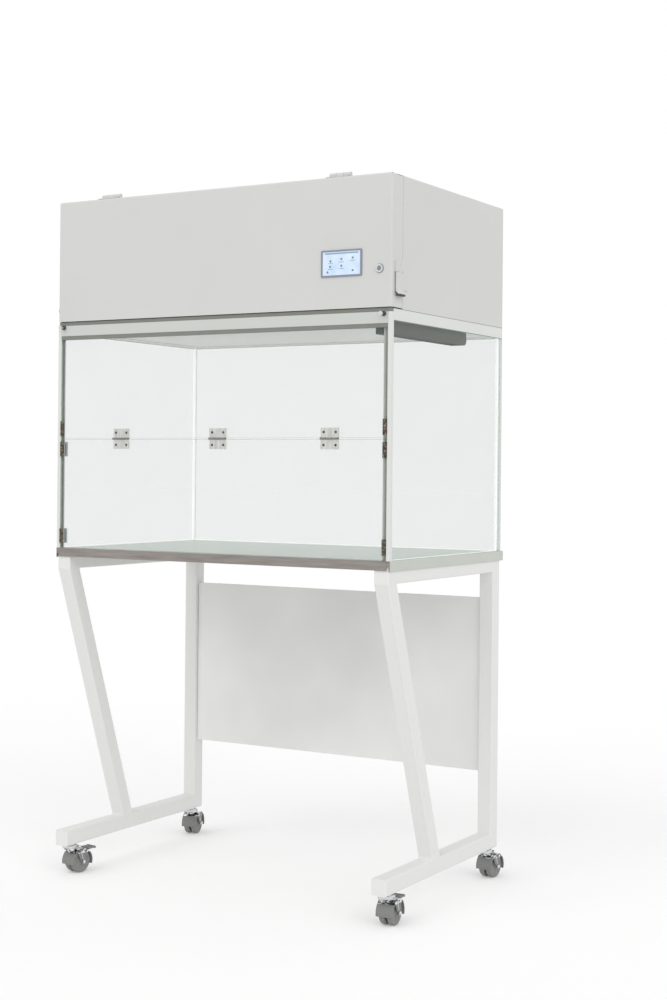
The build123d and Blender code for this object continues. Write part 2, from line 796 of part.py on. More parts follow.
with BuildPart() as plenum_housing:
    block(-half, half, cover_axis_y + seam_gap, back, housing_level, top_level)
    fillet(plenum_housing.edges().filter_by(Axis.Z).group_by(Axis.Y)[-1], corner_radius)
    top_edges = plenum_housing.faces().sort_by(Axis.Z)[-1].edges()
    fillet(top_edges.filter_by_position(Axis.Y, plenum_front, back + 1), corner_radius)
    block(-half + sheet, half - sheet, panel_back, back - sheet, housing_level, top_level - sheet,
          Mode.SUBTRACT)
    block(-half, half, cover_axis_y + seam_gap, plenum_front, housing_level, top_level - sheet,
          Mode.SUBTRACT)
    # prefilter tray round the intake, under the top sheet
    block(-intake_half - tray_wall, intake_half + tray_wall, intake_front - tray_wall,
          intake_back + tray_wall,
          tray_bottom, tray_top)
    block(-intake_half, intake_half, intake_front, intake_back, tray_bottom + tray_wall, top_level,
          Mode.SUBTRACT)
    block(-intake_half + tray_lip, intake_half - tray_lip, intake_front + tray_lip, intake_back - tray_lip,
          tray_bottom, tray_bottom + tray_wall, Mode.SUBTRACT)
    # cutout of the mains inlet
    cut_half = inlet_width / 2 - inlet_flange
    cut_rise = inlet_height / 2 - inlet_flange
    block(inlet_place - cut_half, inlet_place + cut_half, back - sheet, back,
          inlet_z - cut_rise, inlet_z + cut_rise, Mode.SUBTRACT)
    # keepers that the side latches press on
    for side in (-1, 1):
        block(side * half, side * (half + keeper_clear - knuckle_gap), plenum_front + seam_gap,
              plenum_front + seam_gap + keeper_length, keeper_bottom, keeper_bottom + keeper_height)
save(plenum_housing.part, "plenum_housing")

# ---------------------------------------------------------------- strike of the cam lock
strike_left = lock_place - strike_width / 2
strike_right = lock_place + strike_width / 2
with BuildPart() as lock_strike:
    block(strike_left, strike_right, strike_face, strike_face + frame_sheet, strike_foot - frame_sheet,
          strike_foot + strike_lip)
    block(strike_left, strike_right, strike_face, plenum_front, strike_foot - frame_sheet, strike_foot)
save(lock_strike.part, "lock_strike")

# ---------------------------------------------------------------- fan deck, impeller, motor
fan_y = intake_middle
bell_outer = bell_radius + bell_flare
with BuildPart() as fan_deck:
    block(-half + sheet, half - sheet, panel_back, back - sheet, deck_level, deck_level + deck_sheet)
    with BuildSketch(Plane.XY.offset(deck_level)):
        with Locations((0, fan_y)):
            Circle(bell_outer)
    extrude(amount=deck_sheet, mode=Mode.SUBTRACT)
    with BuildSketch(Plane(origin=(0, fan_y, deck_level), x_dir=(1, 0, 0), z_dir=(0, -1, 0))):
        with BuildLine():
            curve_level = deck_sheet - bell_flare
            Line((bell_outer, deck_sheet - bell_wall), (bell_outer, deck_sheet))
            Polyline((bell_outer, deck_sheet), (bell_radius + bell_slope, deck_sheet - bell_slope),
                     (bell_radius, curve_level))
            Line((bell_radius, curve_level), (bell_radius, -bell_drop))
            Line((bell_radius, -bell_drop), (bell_radius + bell_wall, -bell_drop))
            Line((bell_radius + bell_wall, -bell_drop), (bell_radius + bell_wall, curve_level))
            Polyline((bell_radius + bell_wall, curve_level),
                     (bell_radius + bell_slope + bell_wall / 2, deck_sheet - bell_slope - bell_wall / 2),
                     (bell_outer, deck_sheet - bell_wall))
        make_face()
    revolve(axis=Axis((0, fan_y, 0), (0, 0, 1)))
save(fan_deck.part, "fan_deck")

shroud_level = impeller_level + impeller_height - impeller_disc
blade_height = impeller_height - 2 * impeller_disc
with BuildPart() as impeller:
    with BuildSketch(Plane.XY.offset(impeller_level)):
        with Locations((0, fan_y)):
            Circle(impeller_radius)
    extrude(amount=impeller_disc)
    with BuildSketch(Plane.XY.offset(shroud_level)):
        with Locations((0, fan_y)):
            Circle(impeller_radius)
            Circle(impeller_eye, mode=Mode.SUBTRACT)
    extrude(amount=impeller_disc)
    with BuildSketch(Plane.XY.offset(impeller_level + impeller_disc)):
        with Locations((0, fan_y)):
            with PolarLocations(0, blade_count):
                with BuildLine():
                    tip = (impeller_radius - blade_thick, 0)
                    sweep = radians(blade_sweep)
                    root_point = (blade_inner * cos(sweep), blade_inner * sin(sweep))
                    camber = RadiusArc(root_point, tip, -blade_inner)
                    offset(camber, amount=blade_thick / 2, side=Side.BOTH)
                make_face()
    extrude(amount=blade_height)
    with BuildSketch(Plane.XY.offset(impeller_level)):
        with Locations((0, fan_y)):
            Circle(hub_radius)
    extrude(amount=hub_height)
    rod(0, fan_y, impeller_level, (0, 0, 1), shaft_radius + running_gap, hub_height, Mode.SUBTRACT)
save(impeller.part, "impeller")

motor_top = impeller_level - motor_gap
motor_bottom = motor_top - motor_height
with BuildPart() as fan_motor:
    rod(0, fan_y, motor_bottom, (0, 0, 1), motor_radius, motor_height)
    chamfer(fan_motor.edges().filter_by(GeomType.CIRCLE).sort_by(Axis.Z)[-1], corner_radius)
    rod(0, fan_y, motor_top, (0, 0, 1), shaft_radius, motor_gap + hub_height - impeller_disc)
save(fan_motor.part, "fan_motor")

with BuildPart() as motor_bracket:
    with BuildSketch(Plane.XY.offset(motor_bottom - bracket_thick)):
        with Locations((0, fan_y)):
            Circle(motor_radius)
            for turn in (45, 135):
                Rectangle(2 * bracket_reach, bracket_arm, rotation=turn)
    extrude(amount=bracket_thick)
    for quarter in range(4):
        angle = radians(45 + 90 * quarter)
        reach = bracket_reach - bracket_arm / 2
        hanger_x = reach * cos(angle)
        hanger_y = fan_y + reach * sin(angle)
        block(hanger_x - bracket_hanger / 2, hanger_x + bracket_hanger / 2, hanger_y - bracket_hanger / 2,
              hanger_y + bracket_hanger / 2, motor_bottom, deck_level)
save(motor_bracket.part, "motor_bracket")

# ---------------------------------------------------------------- intake prefilter and grille
with BuildPart() as prefilter:
    block(-intake_half + fit_gap, intake_half - fit_gap, intake_front + fit_gap, intake_back - fit_gap,
          tray_bottom + tray_wall, tray_top)
save(prefilter.part, "prefilter")

slot_pitch = prefilter_width / grille_slots
with BuildPart() as intake_grille:
    with BuildSketch(Plane.XY.offset(top_level)):
        with Locations((0, intake_middle)):
            RectangleRounded(prefilter_length + 2 * grille_margin, prefilter_width + 2 * grille_margin,
                             corner_radius)
            with GridLocations(prefilter_length / 2, slot_pitch, 2, grille_slots):
                Rectangle(prefilter_length / 2 - 2 * grille_margin, grille_slot_width, mode=Mode.SUBTRACT)
    extrude(amount=sheet)
save(intake_grille.part, "intake_grille")

# ---------------------------------------------------------------- control unit and mains inlet
unit_middle = housing_level + housing_height / 2
with BuildPart() as control_unit:
    block(-unit_width / 2, unit_width / 2, plenum_front - unit_depth, plenum_front,
          unit_middle - unit_height / 2, unit_middle + unit_height / 2)
    fillet(control_unit.edges().filter_by(Axis.Y), corner_radius)
save(control_unit.part, "control_unit")

inlet_left = inlet_place - inlet_width / 2
inlet_right = inlet_place + inlet_width / 2
inlet_low = inlet_z - inlet_height / 2
inlet_high = inlet_z + inlet_height / 2
recess_floor = back - inlet_depth + inlet_wall
with BuildPart() as mains_inlet:
    block(inlet_left, inlet_right, back, back + inlet_flange, inlet_low, inlet_high)
    block(inlet_left + inlet_flange, inlet_right - inlet_flange, back - inlet_depth, back,
          inlet_low + inlet_flange, inlet_high - inlet_flange)
    block(inlet_left + inlet_wall, inlet_right - inlet_wall, recess_floor, back + inlet_flange,
          inlet_low + inlet_wall, inlet_high - inlet_wall, Mode.SUBTRACT)
    for pin in (-inlet_pin_space, 0, inlet_pin_space):
        pin_middle = inlet_place + pin
        block(pin_middle - inlet_pin_width / 2, pin_middle + inlet_pin_width / 2, recess_floor,
              back - inlet_pin_inset, inlet_z - inlet_pin_height / 2, inlet_z + inlet_pin_height / 2)
save(mains_inlet.part, "mains_inlet")

# ---------------------------------------------------------------- front cover
cover_bottom = housing_level + cover_gap
with BuildPart() as front_cover:
    block(-half, half, front, front + cover_return, cover_bottom, top_level)
    fillet(front_cover.edges().filter_by(Axis.Z).group_by(Axis.Y)[0], corner_radius)
    fillet(front_cover.faces().sort_by(Axis.Z)[-1].edges().filter_by_position(Axis.Y, front - 1, front + 1),
           corner_radius)
    block(-half + sheet, half - sheet, front + sheet, front + cover_return, cover_bottom, top_level - sheet,
          Mode.SUBTRACT)
    block(-half, half, cover_axis_y, front + cover_return, top_level - 2 * sheet, top_level, Mode.SUBTRACT)
    block(display_place - display_width / 2 + display_proud,
          display_place + display_width / 2 - display_proud,
          front, front + sheet, display_z - display_height / 2 + display_proud,
          display_z + display_height / 2 - display_proud, Mode.SUBTRACT)
    rod(lock_place, front, lock_z, (0, 1, 0), lock_neck_radius, sheet, Mode.SUBTRACT)
save(front_cover.part, "front_cover")

with BuildPart() as display_bezel:
    with BuildSketch(Plane.XZ.offset(-front + display_proud)):
        with Locations((display_place, display_z)):
            RectangleRounded(display_width, display_height, display_proud)
    extrude(amount=-display_proud)
    block(display_place - display_width / 2 + display_proud,
          display_place + display_width / 2 - display_proud,
          front, front + display_depth, display_z - display_height / 2 + display_proud,
          display_z + display_height / 2 - display_proud)
    block(display_place - screen_width / 2, display_place + screen_width / 2, front - display_proud,
          front + sheet, display_z - screen_height / 2, display_z + screen_height / 2, Mode.SUBTRACT)
save(display_bezel.part, "display_bezel")

with BuildPart() as display_screen:
    block(display_place - screen_width / 2, display_place + screen_width / 2,
          front - display_proud + screen_inset, front + sheet,
          display_z - screen_height / 2, display_z + screen_height / 2)
save(display_screen.part, "display_screen")

with BuildPart() as lock_body:
    rod(lock_place, front, lock_z, (0, -1, 0), lock_radius, lock_proud)
    rod(lock_place, front, lock_z, (0, 1, 0), lock_neck_radius, lock_length)
    rod(lock_place, front - lock_proud, lock_z, (0, 1, 0), lock_plug_radius + running_gap,
        lock_length + lock_proud, Mode.SUBTRACT)
save(lock_body.part, "lock_body")

with BuildPart() as lock_plug:
    rod(lock_place, front - lock_proud, lock_z, (0, 1, 0), lock_plug_radius,
        lock_length + lock_proud + cam_thick)
    block(lock_place - key_slot_width / 2, lock_place + key_slot_width / 2, front - lock_proud, front,
          lock_z - key_slot_height / 2, lock_z + key_slot_height / 2, Mode.SUBTRACT)
    with BuildSketch(Plane.XZ.offset(-front - lock_length - cam_thick)):
        with Locations((lock_place - cam_length / 2, lock_z)):
            SlotCenterToCenter(cam_length, cam_width)
    extrude(amount=cam_thick)
save(lock_plug.part, "lock_plug")

# ---------------------------------------------------------------- cover hinges
cover_third = cover_hinge_width / 3
cover_hinge_places = (-half + cover_hinge_from_side, half - cover_hinge_from_side)


def cover_leaf(place, direction, knuckles, bore):
    """One leaf of a cover hinge on the top sheet, with its barrel segments, inside the open builder."""
    root = cover_axis_y + direction * (cover_knuckle_radius + knuckle_gap)
    with BuildSketch(Plane.XY.offset(top_level)) as leaf:
        with Locations((place, root + direction * (cover_hinge_leaf - cover_knuckle_radius) / 2)):
            Rectangle(cover_hinge_width, cover_hinge_leaf - cover_knuckle_radius)
    extrude(leaf.sketch, amount=cover_hinge_thick)
    for start in knuckles:
        left = place - cover_hinge_width / 2 + start * cover_third + knuckle_gap
        right = left + cover_third - 2 * knuckle_gap
        block(left, right, cover_axis_y + direction * seam_gap, root + direction * leaf_lap,
              top_level, top_level + cover_hinge_thick)
        block(left, right, cover_axis_y, cover_axis_y + direction * cover_knuckle_radius,
              top_level + cover_hinge_thick, cover_axis_z)
        rod(left, cover_axis_y, cover_axis_z, (1, 0, 0), cover_knuckle_radius, right - left)
    rod(place - cover_hinge_width / 2, cover_axis_y, cover_axis_z, (1, 0, 0), cover_pin_radius + bore,
        cover_hinge_width, Mode.SUBTRACT if bore else Mode.ADD)


with BuildPart() as cover_hinge_fixed_leaves:
    for place in cover_hinge_places:
        cover_leaf(place, 1, (0, 2), 0)
save(cover_hinge_fixed_leaves.part, "cover_hinge_fixed_leaves")

with BuildPart() as cover_hinge_moving_leaves:
    for place in cover_hinge_places:
        cover_leaf(place, -1, (1,), running_gap)
save(cover_hinge_moving_leaves.part, "cover_hinge_moving_leaves")

# ---------------------------------------------------------------- side latches
pivot_third = latch_width / 3

with BuildPart() as latch_plates:
    for side in (-1, 1):
        block(side * half, side * (half + latch_thick), latch_front, latch_back,
              latch_pivot_z + latch_pivot_radius + knuckle_gap, latch_top)
        for start in (0, 2):
            near = latch_front + start * pivot_third + knuckle_gap
            far = near + pivot_third - 2 * knuckle_gap
            block(side * half, side * latch_pivot_out, near, far, latch_pivot_z,
                  latch_pivot_z + latch_pivot_radius + knuckle_gap)
            rod(side * latch_pivot_out, near, latch_pivot_z, (0, 1, 0), latch_pivot_radius, far - near)
        rod(side * latch_pivot_out, latch_front, latch_pivot_z, (0, 1, 0), latch_pin_radius, latch_width)
        for spot in (-latch_screw_space / 2, latch_screw_space / 2):
            screw_head(side * (half + latch_thick), (latch_front + latch_back) / 2 + spot,
                       latch_top - latch_screw_drop, (side, 0, 0))
save(latch_plates.part, "latch_plates")

for side, side_name in ((-1, "left"), (1, "right")):
    near = latch_front + pivot_third + knuckle_gap
    far = near + pivot_third - 2 * knuckle_gap
    inner = half + keeper_clear
    with BuildPart() as latch_lever_part:
        with BuildSketch(Plane.XZ.offset(-latch_front)):
            with BuildLine():
                Polyline(
                    (side * inner, latch_pivot_z - latch_pivot_radius - knuckle_gap),
                    (side * inner, latch_bottom + latch_scoop),
                    (side * (inner + latch_scoop), latch_bottom),
                    (side * (inner + latch_scoop + latch_thick / 2), latch_bottom + latch_thick / 2),
                    (side * (inner + latch_thick), latch_bottom + latch_grip),
                    (side * (inner + latch_thick), latch_pivot_z - latch_pivot_radius - knuckle_gap),
                    close=True,
                )
            make_face()
        extrude(amount=-latch_width)
        block(side * inner, side * (inner + latch_thick), latch_back, latch_back + latch_tooth,
              latch_bottom + latch_grip, latch_bottom + latch_grip + keeper_height)
        rod(side * latch_pivot_out, near, latch_pivot_z, (0, 1, 0), latch_pivot_radius, far - near)
        block(side * inner, side * (latch_pivot_out + latch_pivot_radius), near, far,
              latch_pivot_z - latch_pivot_radius - knuckle_gap - latch_thick, latch_pivot_z)
        rod(side * latch_pivot_out, near, latch_pivot_z, (0, 1, 0), latch_pin_radius + running_gap,
            far - near,
            Mode.SUBTRACT)
    save(latch_lever_part.part, f"{side_name}_latch_lever")
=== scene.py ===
# %% [markdown]
# # A laminar flow hood on castors
#
# A laminar flow hood blows filtered air down over a steel worktop, so that clean work can be
# done on it.  A powder-coated housing with the fan and the filters stands on a chamber of clear
# toughened glass, and a welded stand of square tube carries both.  The rigid shapes come ready
# made as a frame of solids.  This script gives each of them its finish, and adds the small
# detail that solids leave out: screw recesses, moulded wheels, weld beads, seals and the
# picture on the display.

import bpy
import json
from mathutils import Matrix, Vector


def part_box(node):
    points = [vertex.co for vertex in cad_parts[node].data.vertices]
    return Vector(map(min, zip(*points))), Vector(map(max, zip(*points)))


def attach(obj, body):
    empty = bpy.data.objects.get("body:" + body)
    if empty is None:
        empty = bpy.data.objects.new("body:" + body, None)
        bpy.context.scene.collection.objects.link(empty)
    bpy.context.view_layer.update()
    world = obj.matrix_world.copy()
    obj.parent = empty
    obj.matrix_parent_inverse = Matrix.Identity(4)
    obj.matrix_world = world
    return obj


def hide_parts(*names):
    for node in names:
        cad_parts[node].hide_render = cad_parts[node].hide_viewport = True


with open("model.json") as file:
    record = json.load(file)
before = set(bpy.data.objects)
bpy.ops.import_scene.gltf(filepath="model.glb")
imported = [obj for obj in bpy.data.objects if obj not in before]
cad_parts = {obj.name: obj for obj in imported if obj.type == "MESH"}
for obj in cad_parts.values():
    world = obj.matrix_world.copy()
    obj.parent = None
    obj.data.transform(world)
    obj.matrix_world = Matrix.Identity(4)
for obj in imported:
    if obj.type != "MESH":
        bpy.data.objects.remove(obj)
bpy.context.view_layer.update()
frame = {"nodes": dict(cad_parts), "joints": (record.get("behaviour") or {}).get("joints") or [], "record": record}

# %% [markdown]
# ## Where things are
#
# Everything is in metres: X to the operator's right, Y to the rear, Z up.  A new piece could be
# given its place as plain numbers, but then it would float as soon as a solid moved.  So the
# places of joints and solids are read from the frame, and each piece is set on what carries it.

# %% Places
import json
from math import cos, pi, radians, sin

import bmesh
import bpy
from mathutils import Matrix, Vector

joints = {joint["name"]: joint for joint in frame["joints"]}
slot_of = {row["node"]: row["material_slot"] for row in frame["record"]["subparts"]}
castor_names = ("front_left", "front_right", "rear_left", "rear_right")
MM = 0.001


def middle(node):
    """The middle of a solid's box."""
    low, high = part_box(node)
    return (low + high) / 2


for name in castor_names:
    print(name, "axle at", [round(v, 3) for v in middle(name + "_wheels")])

# %% [markdown]
# ## The camera
#
# A camera is a place, a direction and a lens.  The hood is seen from the front right, about
# 30 degrees round, from a little above the worktop and from some four metres away.  A long
# lens keeps the upright lines upright.

# %% Camera
image_height = 1000
camera_place = Vector((2.328, -3.678, 1.083))
yaw, pitch, roll = radians(30.47), radians(0.14), radians(0.53)
focal_pixels, centre_down = 1642.0, 463.4

ahead = Vector((-sin(yaw) * cos(pitch), cos(yaw) * cos(pitch), sin(pitch)))
right = Vector((cos(yaw), sin(yaw), 0))
over = right.cross(ahead)
turned_right = right * cos(roll) + over * sin(roll)
turned_up = over * cos(roll) - right * sin(roll)

camera_data = bpy.data.cameras.new("camera")
camera_data.sensor_width = 36.0
camera_data.lens = focal_pixels / image_height * camera_data.sensor_width
camera_data.shift_y = (centre_down - image_height / 2) / image_height
camera = bpy.data.objects.new("camera", camera_data)
camera.matrix_world = Matrix.Translation(camera_place) @ Matrix(
    (turned_right, turned_up, -ahead)
).transposed().to_4x4()
bpy.context.scene.collection.objects.link(camera)
bpy.context.scene.camera = camera
bpy.context.scene.view_settings.view_transform = "Standard"
print("lens", round(camera_data.lens, 1), "mm, shift", round(camera_data.shift_y, 4))

# %% [markdown]
# ## Shader sums as plain Python
#
# A material is a small sum over the surface: noise times strength, one minus a mask.  Nodes do
# those sums, but rows of node calls are hard to read.  So one class wraps a node's socket and
# lets Python's own operators add the Math nodes.  Each operator has its reflected form too, so
# that a number may stand on the left.


# %% A socket that can be added and multiplied
class Wire:
    """A number or colour that changes over the surface, and the tree whose nodes make it."""

    def __init__(self, tree, socket):
        self.tree, self.socket = tree, socket

    def sum(self, operation, *values):
        """Adds a Math node that works on these values."""
        return self.tree.node("ShaderNodeMath", {"operation": operation}, dict(enumerate(values)))

    def __add__(self, other):
        return self.sum("ADD", self, other)

    def __sub__(self, other):
        return self.sum("SUBTRACT", self, other)

    def __rsub__(self, other):
        return self.sum("SUBTRACT", other, self)

    def __mul__(self, other):
        return self.sum("MULTIPLY", self, other)

    def __pow__(self, other):
        return self.sum("POWER", self, other)

    def __rpow__(self, other):
        return self.sum("POWER", other, self)

    def __gt__(self, other):
        return self.sum("GREATER_THAN", self, other)

    def __lt__(self, other):
        return self.sum("LESS_THAN", self, other)

    def __abs__(self):
        return self.sum("ABSOLUTE", self)

    __radd__, __rmul__ = __add__, __mul__


def larger(first, second):
    """The larger of two wires."""
    return first.sum("MAXIMUM", first, second)


print("operators:", [name for name in vars(Wire) if name.startswith("__") and name != "__doc__"])

# %% [markdown]
# ## A tree and a finish
#
# Every node comes from one method, which takes its type, its settings and what goes into its
# sockets.  A finish is a tree with one Principled surface.  Its other methods are short names
# for the few patterns that all the finishes share.


# %% A tree of nodes
class Tree:
    """A node tree, and the one method that adds a node to it."""

    def __init__(self, owner):
        owner.use_nodes = True
        self.nodes, self.links = owner.node_tree.nodes, owner.node_tree.links

    def node(self, kind, settings, sockets, output=0):
        """Adds a node: its settings first, then the values or wires of its sockets."""
        node = self.nodes.new(kind)
        for key, value in settings.items():
            setattr(node, key, value)
        for key, value in sockets.items():
            self.put(node.inputs[key], value)
        return Wire(self, node.outputs[output])

    def put(self, socket, value):
        """Links a wire to a socket, or writes a plain value on it."""
        if isinstance(value, Wire):
            self.links.new(value.socket, socket)
        else:
            socket.default_value = value

    def ray(self, kind):
        """One where the ray that sees the surface is of this kind."""
        return self.node("ShaderNodeLightPath", {}, {}, f"Is {kind} Ray")


print("a tree can:", [name for name in vars(Tree) if not name.startswith("__")])


# %% A finish
class Finish(Tree):
    """One material: a Principled surface, and the nodes that vary it."""

    def __init__(self, name, **constants):
        self.material = bpy.data.materials.new(name)
        super().__init__(self.material)
        self.surface = self.nodes["Principled BSDF"]
        self.set(**constants)

    def set(self, **values):
        """Sets sockets of the surface, named with underscores for spaces."""
        for key, value in values.items():
            self.put(self.surface.inputs[key.replace("_", " ")], value)

    def place(self, stretch=(1, 1, 1), centre=(0, 0, 0)):
        """The point on the piece, in metres, moved to a centre and stretched along the axes."""
        here = self.node("ShaderNodeTexCoord", {}, {}, "Object")
        shift = tuple(-c * s for c, s in zip(centre, stretch))
        return self.node("ShaderNodeMapping", {},
                         {"Vector": here, "Location": shift, "Scale": stretch})

    def along(self, axis, centre=(0, 0, 0)):
        """How far along X, Y or Z the point lies from a centre."""
        return self.node("ShaderNodeSeparateXYZ", {}, {0: self.place(centre=centre)}, axis)

    def noise(self, size, stretch=(1, 1, 1), detail=3.0, rough=0.5):
        """Noise from 0 to 1 whose lumps are about size metres across."""
        return self.node("ShaderNodeTexNoise", {}, {
            "Vector": self.place(stretch), "Scale": 1 / size, "Detail": detail,
            "Roughness": rough})

    def blend(self, factor, first, second):
        """A colour between two colours."""
        return self.node("ShaderNodeMix", {"data_type": "RGBA"},
                         {0: factor, 6: first, 7: second}, 2)

    def ramp(self, value, low, high):
        """A value stretched so that low becomes 0 and high becomes 1."""
        return self.node("ShaderNodeMapRange", {}, {0: value, 1: low, 2: high})

    def bump(self, height, depth):
        """A normal from a height; depth is how many metres a height of 1 stands up."""
        return self.node("ShaderNodeBump", {}, {
            "Height": height, "Distance": depth, "Strength": 1.0})


print("a finish can:", [name for name in vars(Finish) if not name.startswith("__")])


# %% Tones
def tone(red, green, blue, alpha=1.0):
    """A screen colour, 0 to 255, as the linear colour that shaders use."""
    linear = [c / 12.92 if c <= 0.04045 else ((c + 0.055) / 1.055) ** 2.4
              for c in (red / 255, green / 255, blue / 255)]
    return (*linear, alpha)


def shade(colour, factor):
    """The same colour, lighter or darker."""
    return (*(min(1.0, c * factor) for c in colour[:3]), colour[3])


print("a light grey:", tuple(round(c, 3) for c in tone(210, 210, 210)))

# %% [markdown]
# ## Powder coat
#
# Powder is sprayed on dry and melted in an oven.  It flows out smooth but keeps a faint orange
# peel, lumps a couple of millimetres across and a few microns high, and large sheets are never
# quite one tone.  A plain colour would look like plastic, so fine noise drives a very shallow
# bump, and broad noise moves the colour and the gloss a little.  Sheets from different batches
# are not quite the same white, so the posts have a coat of their own.  The header's coat is
# darker as painted shade, the shade under the cover.  The panel's coat is paler and has broad
# dark blotches, which are painted light and shade, and the ceiling's near white is painted light
# on parts that stand in shade.  The lamp's dark olive is painted shade too.


# %% Powder coat
def powder_coat(name, colour, gloss=0.34, drift=0.97, peel=0.0022, depth=0.00002, patch=0.22):
    """Paint whose tone drifts over patches and whose peel is a shallow bump."""
    coat = Finish(name, Specular_IOR_Level=0.45)
    broad = coat.noise(patch, detail=2.0)
    fine = coat.noise(peel, detail=1.0)
    coat.set(
        Base_Color=coat.blend(coat.ramp(broad, 0.3, 0.7), shade(colour, drift), colour),
        Roughness=gloss + 0.10 * broad + 0.04 * fine,
        Normal=coat.bump(fine, depth),
    )
    return coat


finishes = {
    "white_paint": powder_coat("housing_powder_coat", tone(215, 216, 213)),
    "stand_paint": powder_coat("stand_powder_coat", tone(235, 235, 233), gloss=0.42,
                               drift=0.985, patch=0.5),
    # The lamp's dark olive is painted shade, the shade under the ceiling.
    "lamp_paint": powder_coat("lamp_powder_coat", tone(42, 45, 30), gloss=0.4, drift=0.85),
    "fan": powder_coat("fan_coating", tone(60, 62, 64), gloss=0.5, drift=0.85),
    "dark_plate": powder_coat("black_plate_coating", tone(74, 70, 66), gloss=0.38, drift=0.8,
                              patch=0.02),
}
# The header's darker white is painted shade, the shade under the cover.
header_coat_painted_shade = powder_coat("header_powder_coat", tone(208, 210, 206))
post_coat = powder_coat("post_powder_coat", tone(226, 228, 224))
# The panel's pale white and broad dark blotches are painted light and shade.
panel_coat_painted_light_and_shade = powder_coat("panel_powder_coat", tone(250, 250, 248), gloss=0.42, drift=0.86,
                         patch=0.34)
# The near white of the ceiling and rear posts is painted light, for parts that stand in shade.
ceiling_coat_painted_light = powder_coat("ceiling_powder_coat", tone(252, 252, 250), gloss=0.5, drift=0.99)
print("powder coats:", list(finishes))

# %% [markdown]
# ## Brushed and drawn metal
#
# A grinding belt leaves thousands of straight scratches side by side, which smear a reflection
# across their direction.  Noise that is stretched a hundred times along one axis gives those
# streaks.  They move the roughness and the tone a little, and a shallow bump catches the light.

# %% Brushed metal
scratch_depth = 0.000008


def brushed(name, colour, rough=0.30, contrast=0.86):
    """Metal with belt scratches along X."""
    stretch = (0.012, 1, 1)
    steel = Finish(name, Metallic=1.0)
    streaks = steel.noise(0.0011, stretch, detail=3.0, rough=0.6)
    bands = steel.noise(0.018, stretch, detail=2.0)
    clouds = steel.noise(0.16, detail=2.0)
    mixed = 0.45 * streaks + 0.35 * bands + 0.20 * clouds
    steel.set(
        Base_Color=steel.blend(steel.ramp(mixed, 0.35, 0.65), shade(colour, contrast), colour),
        Roughness=rough + 0.14 * mixed,
        Normal=steel.bump(streaks, scratch_depth),
    )
    return steel


finishes["steel"] = brushed("satin_stainless", tone(202, 208, 201))
finishes["galvanised"] = brushed("zinc_coated_sheet", tone(184, 188, 190), rough=0.42,
                                 contrast=0.9)
finishes["filter_frame"] = brushed("extruded_aluminium", tone(196, 198, 200), rough=0.38)
print("metals:", finishes["steel"].material.name, finishes["galvanised"].material.name)

# %% [markdown]
# ## Steel that changes along its way
#
# The folded front lip of the worktop and of its pan is painted darker and more streaked than the
# flat, as painted shade on its front face.  The barrels of the sash hinges are painted dark, as
# painted shade along the hinge line.  Lip and flat are one sheet, so they stay one solid, and a
# mask from the distance to the front, or to the hinge line, blends two tones on it.


# %% Lips and hinges
def fronted(name, node, colour, lip_shade_colour, lip=3 * MM):
    """Satin steel whose front lip, the first few millimetres, is painted darker as shade."""
    steel = Finish(name)
    streaks = steel.noise(0.0011, (0.012, 1, 1), detail=3.0, rough=0.6)
    bands = steel.noise(0.006, (0.06, 1, 1), detail=4.0, rough=0.7)
    clouds = steel.noise(0.16, detail=2.0)
    mixed = 0.4 * streaks + 0.4 * bands + 0.2 * clouds
    flat = steel.along("Y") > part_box(node)[0].y + lip
    plain = steel.blend(steel.ramp(mixed, 0.35, 0.65), shade(colour, 0.88), colour)
    # The lip's darker tone is painted shade on its front face.
    lip_painted_shade = steel.blend(steel.ramp(mixed, 0.32, 0.68), shade(lip_shade_colour, 0.55),
                       shade(lip_shade_colour, 1.25))
    steel.set(
        Base_Color=steel.blend(flat, lip_painted_shade, plain),
        Metallic=0.35 + 0.6 * flat,
        Roughness=0.34 + 0.14 * mixed,
        Normal=steel.bump(streaks, scratch_depth),
    )
    return steel


def hinge_finish(name, hinge_line, barrel=2.4 * MM):
    """Bright brushed leaves whose barrels, next to the hinge line, are painted dark as shade."""
    steel = Finish(name, Metallic=1.0)
    streaks = steel.noise(0.0014, (1, 1, 0.05), detail=3.0, rough=0.6)
    leaf = abs(steel.along("Z", (0, 0, hinge_line))) > barrel
    grain = steel.ramp(streaks, 0.3, 0.7)
    bright = steel.blend(grain, tone(176, 176, 172), tone(222, 222, 218))
    # The barrels' dark tone is painted shade along the hinge line.
    barrel_painted_shade = steel.blend(grain, tone(96, 96, 92), tone(150, 150, 146))
    steel.set(
        Base_Color=steel.blend(leaf, barrel_painted_shade, bright),
        Roughness=0.24 + 0.16 * streaks,
        Normal=steel.bump(streaks, scratch_depth),
    )
    return steel


lip_shade_taupe = tone(150, 143, 138)
finishes["pan_paint"] = fronted("pan_steel", "base_pan", tone(203, 207, 200), lip_shade_taupe)
worktop_steel = fronted("worktop_steel", "worktop", tone(208, 214, 207), lip_shade_taupe)
seam = joints["sash_fold"]["pos_m"][2]
hinge_steel = hinge_finish("hinge_steel", seam)
print("hinge line at", round(seam, 4), "m")

# %% [markdown]
# ## Chrome, bronzed clips, blackened screws
#
# Chrome plating is nearly a mirror, and only a haze of fine wear breaks it up.  Blackened screws
# are steel under a thin dark oxide, and the clips on the sash are bronzed the same way.  Both
# rub bright where they are touched.  One recipe does all of them: a colour, a worn colour, and
# noise that picks between the two.


# %% Chrome and blackened steel
def plated(name, colour, rough, haze, worn):
    """Smooth metal with worn patches and a haze that dulls it."""
    metal = Finish(name, Metallic=1.0)
    wear = metal.noise(0.004, detail=4.0)
    metal.set(
        Base_Color=metal.blend(metal.ramp(wear, 0.45, 0.75), colour, worn),
        Roughness=rough + haze * wear,
        Normal=metal.bump(metal.noise(0.0012, detail=2.0), 0.000006),
    )
    return metal


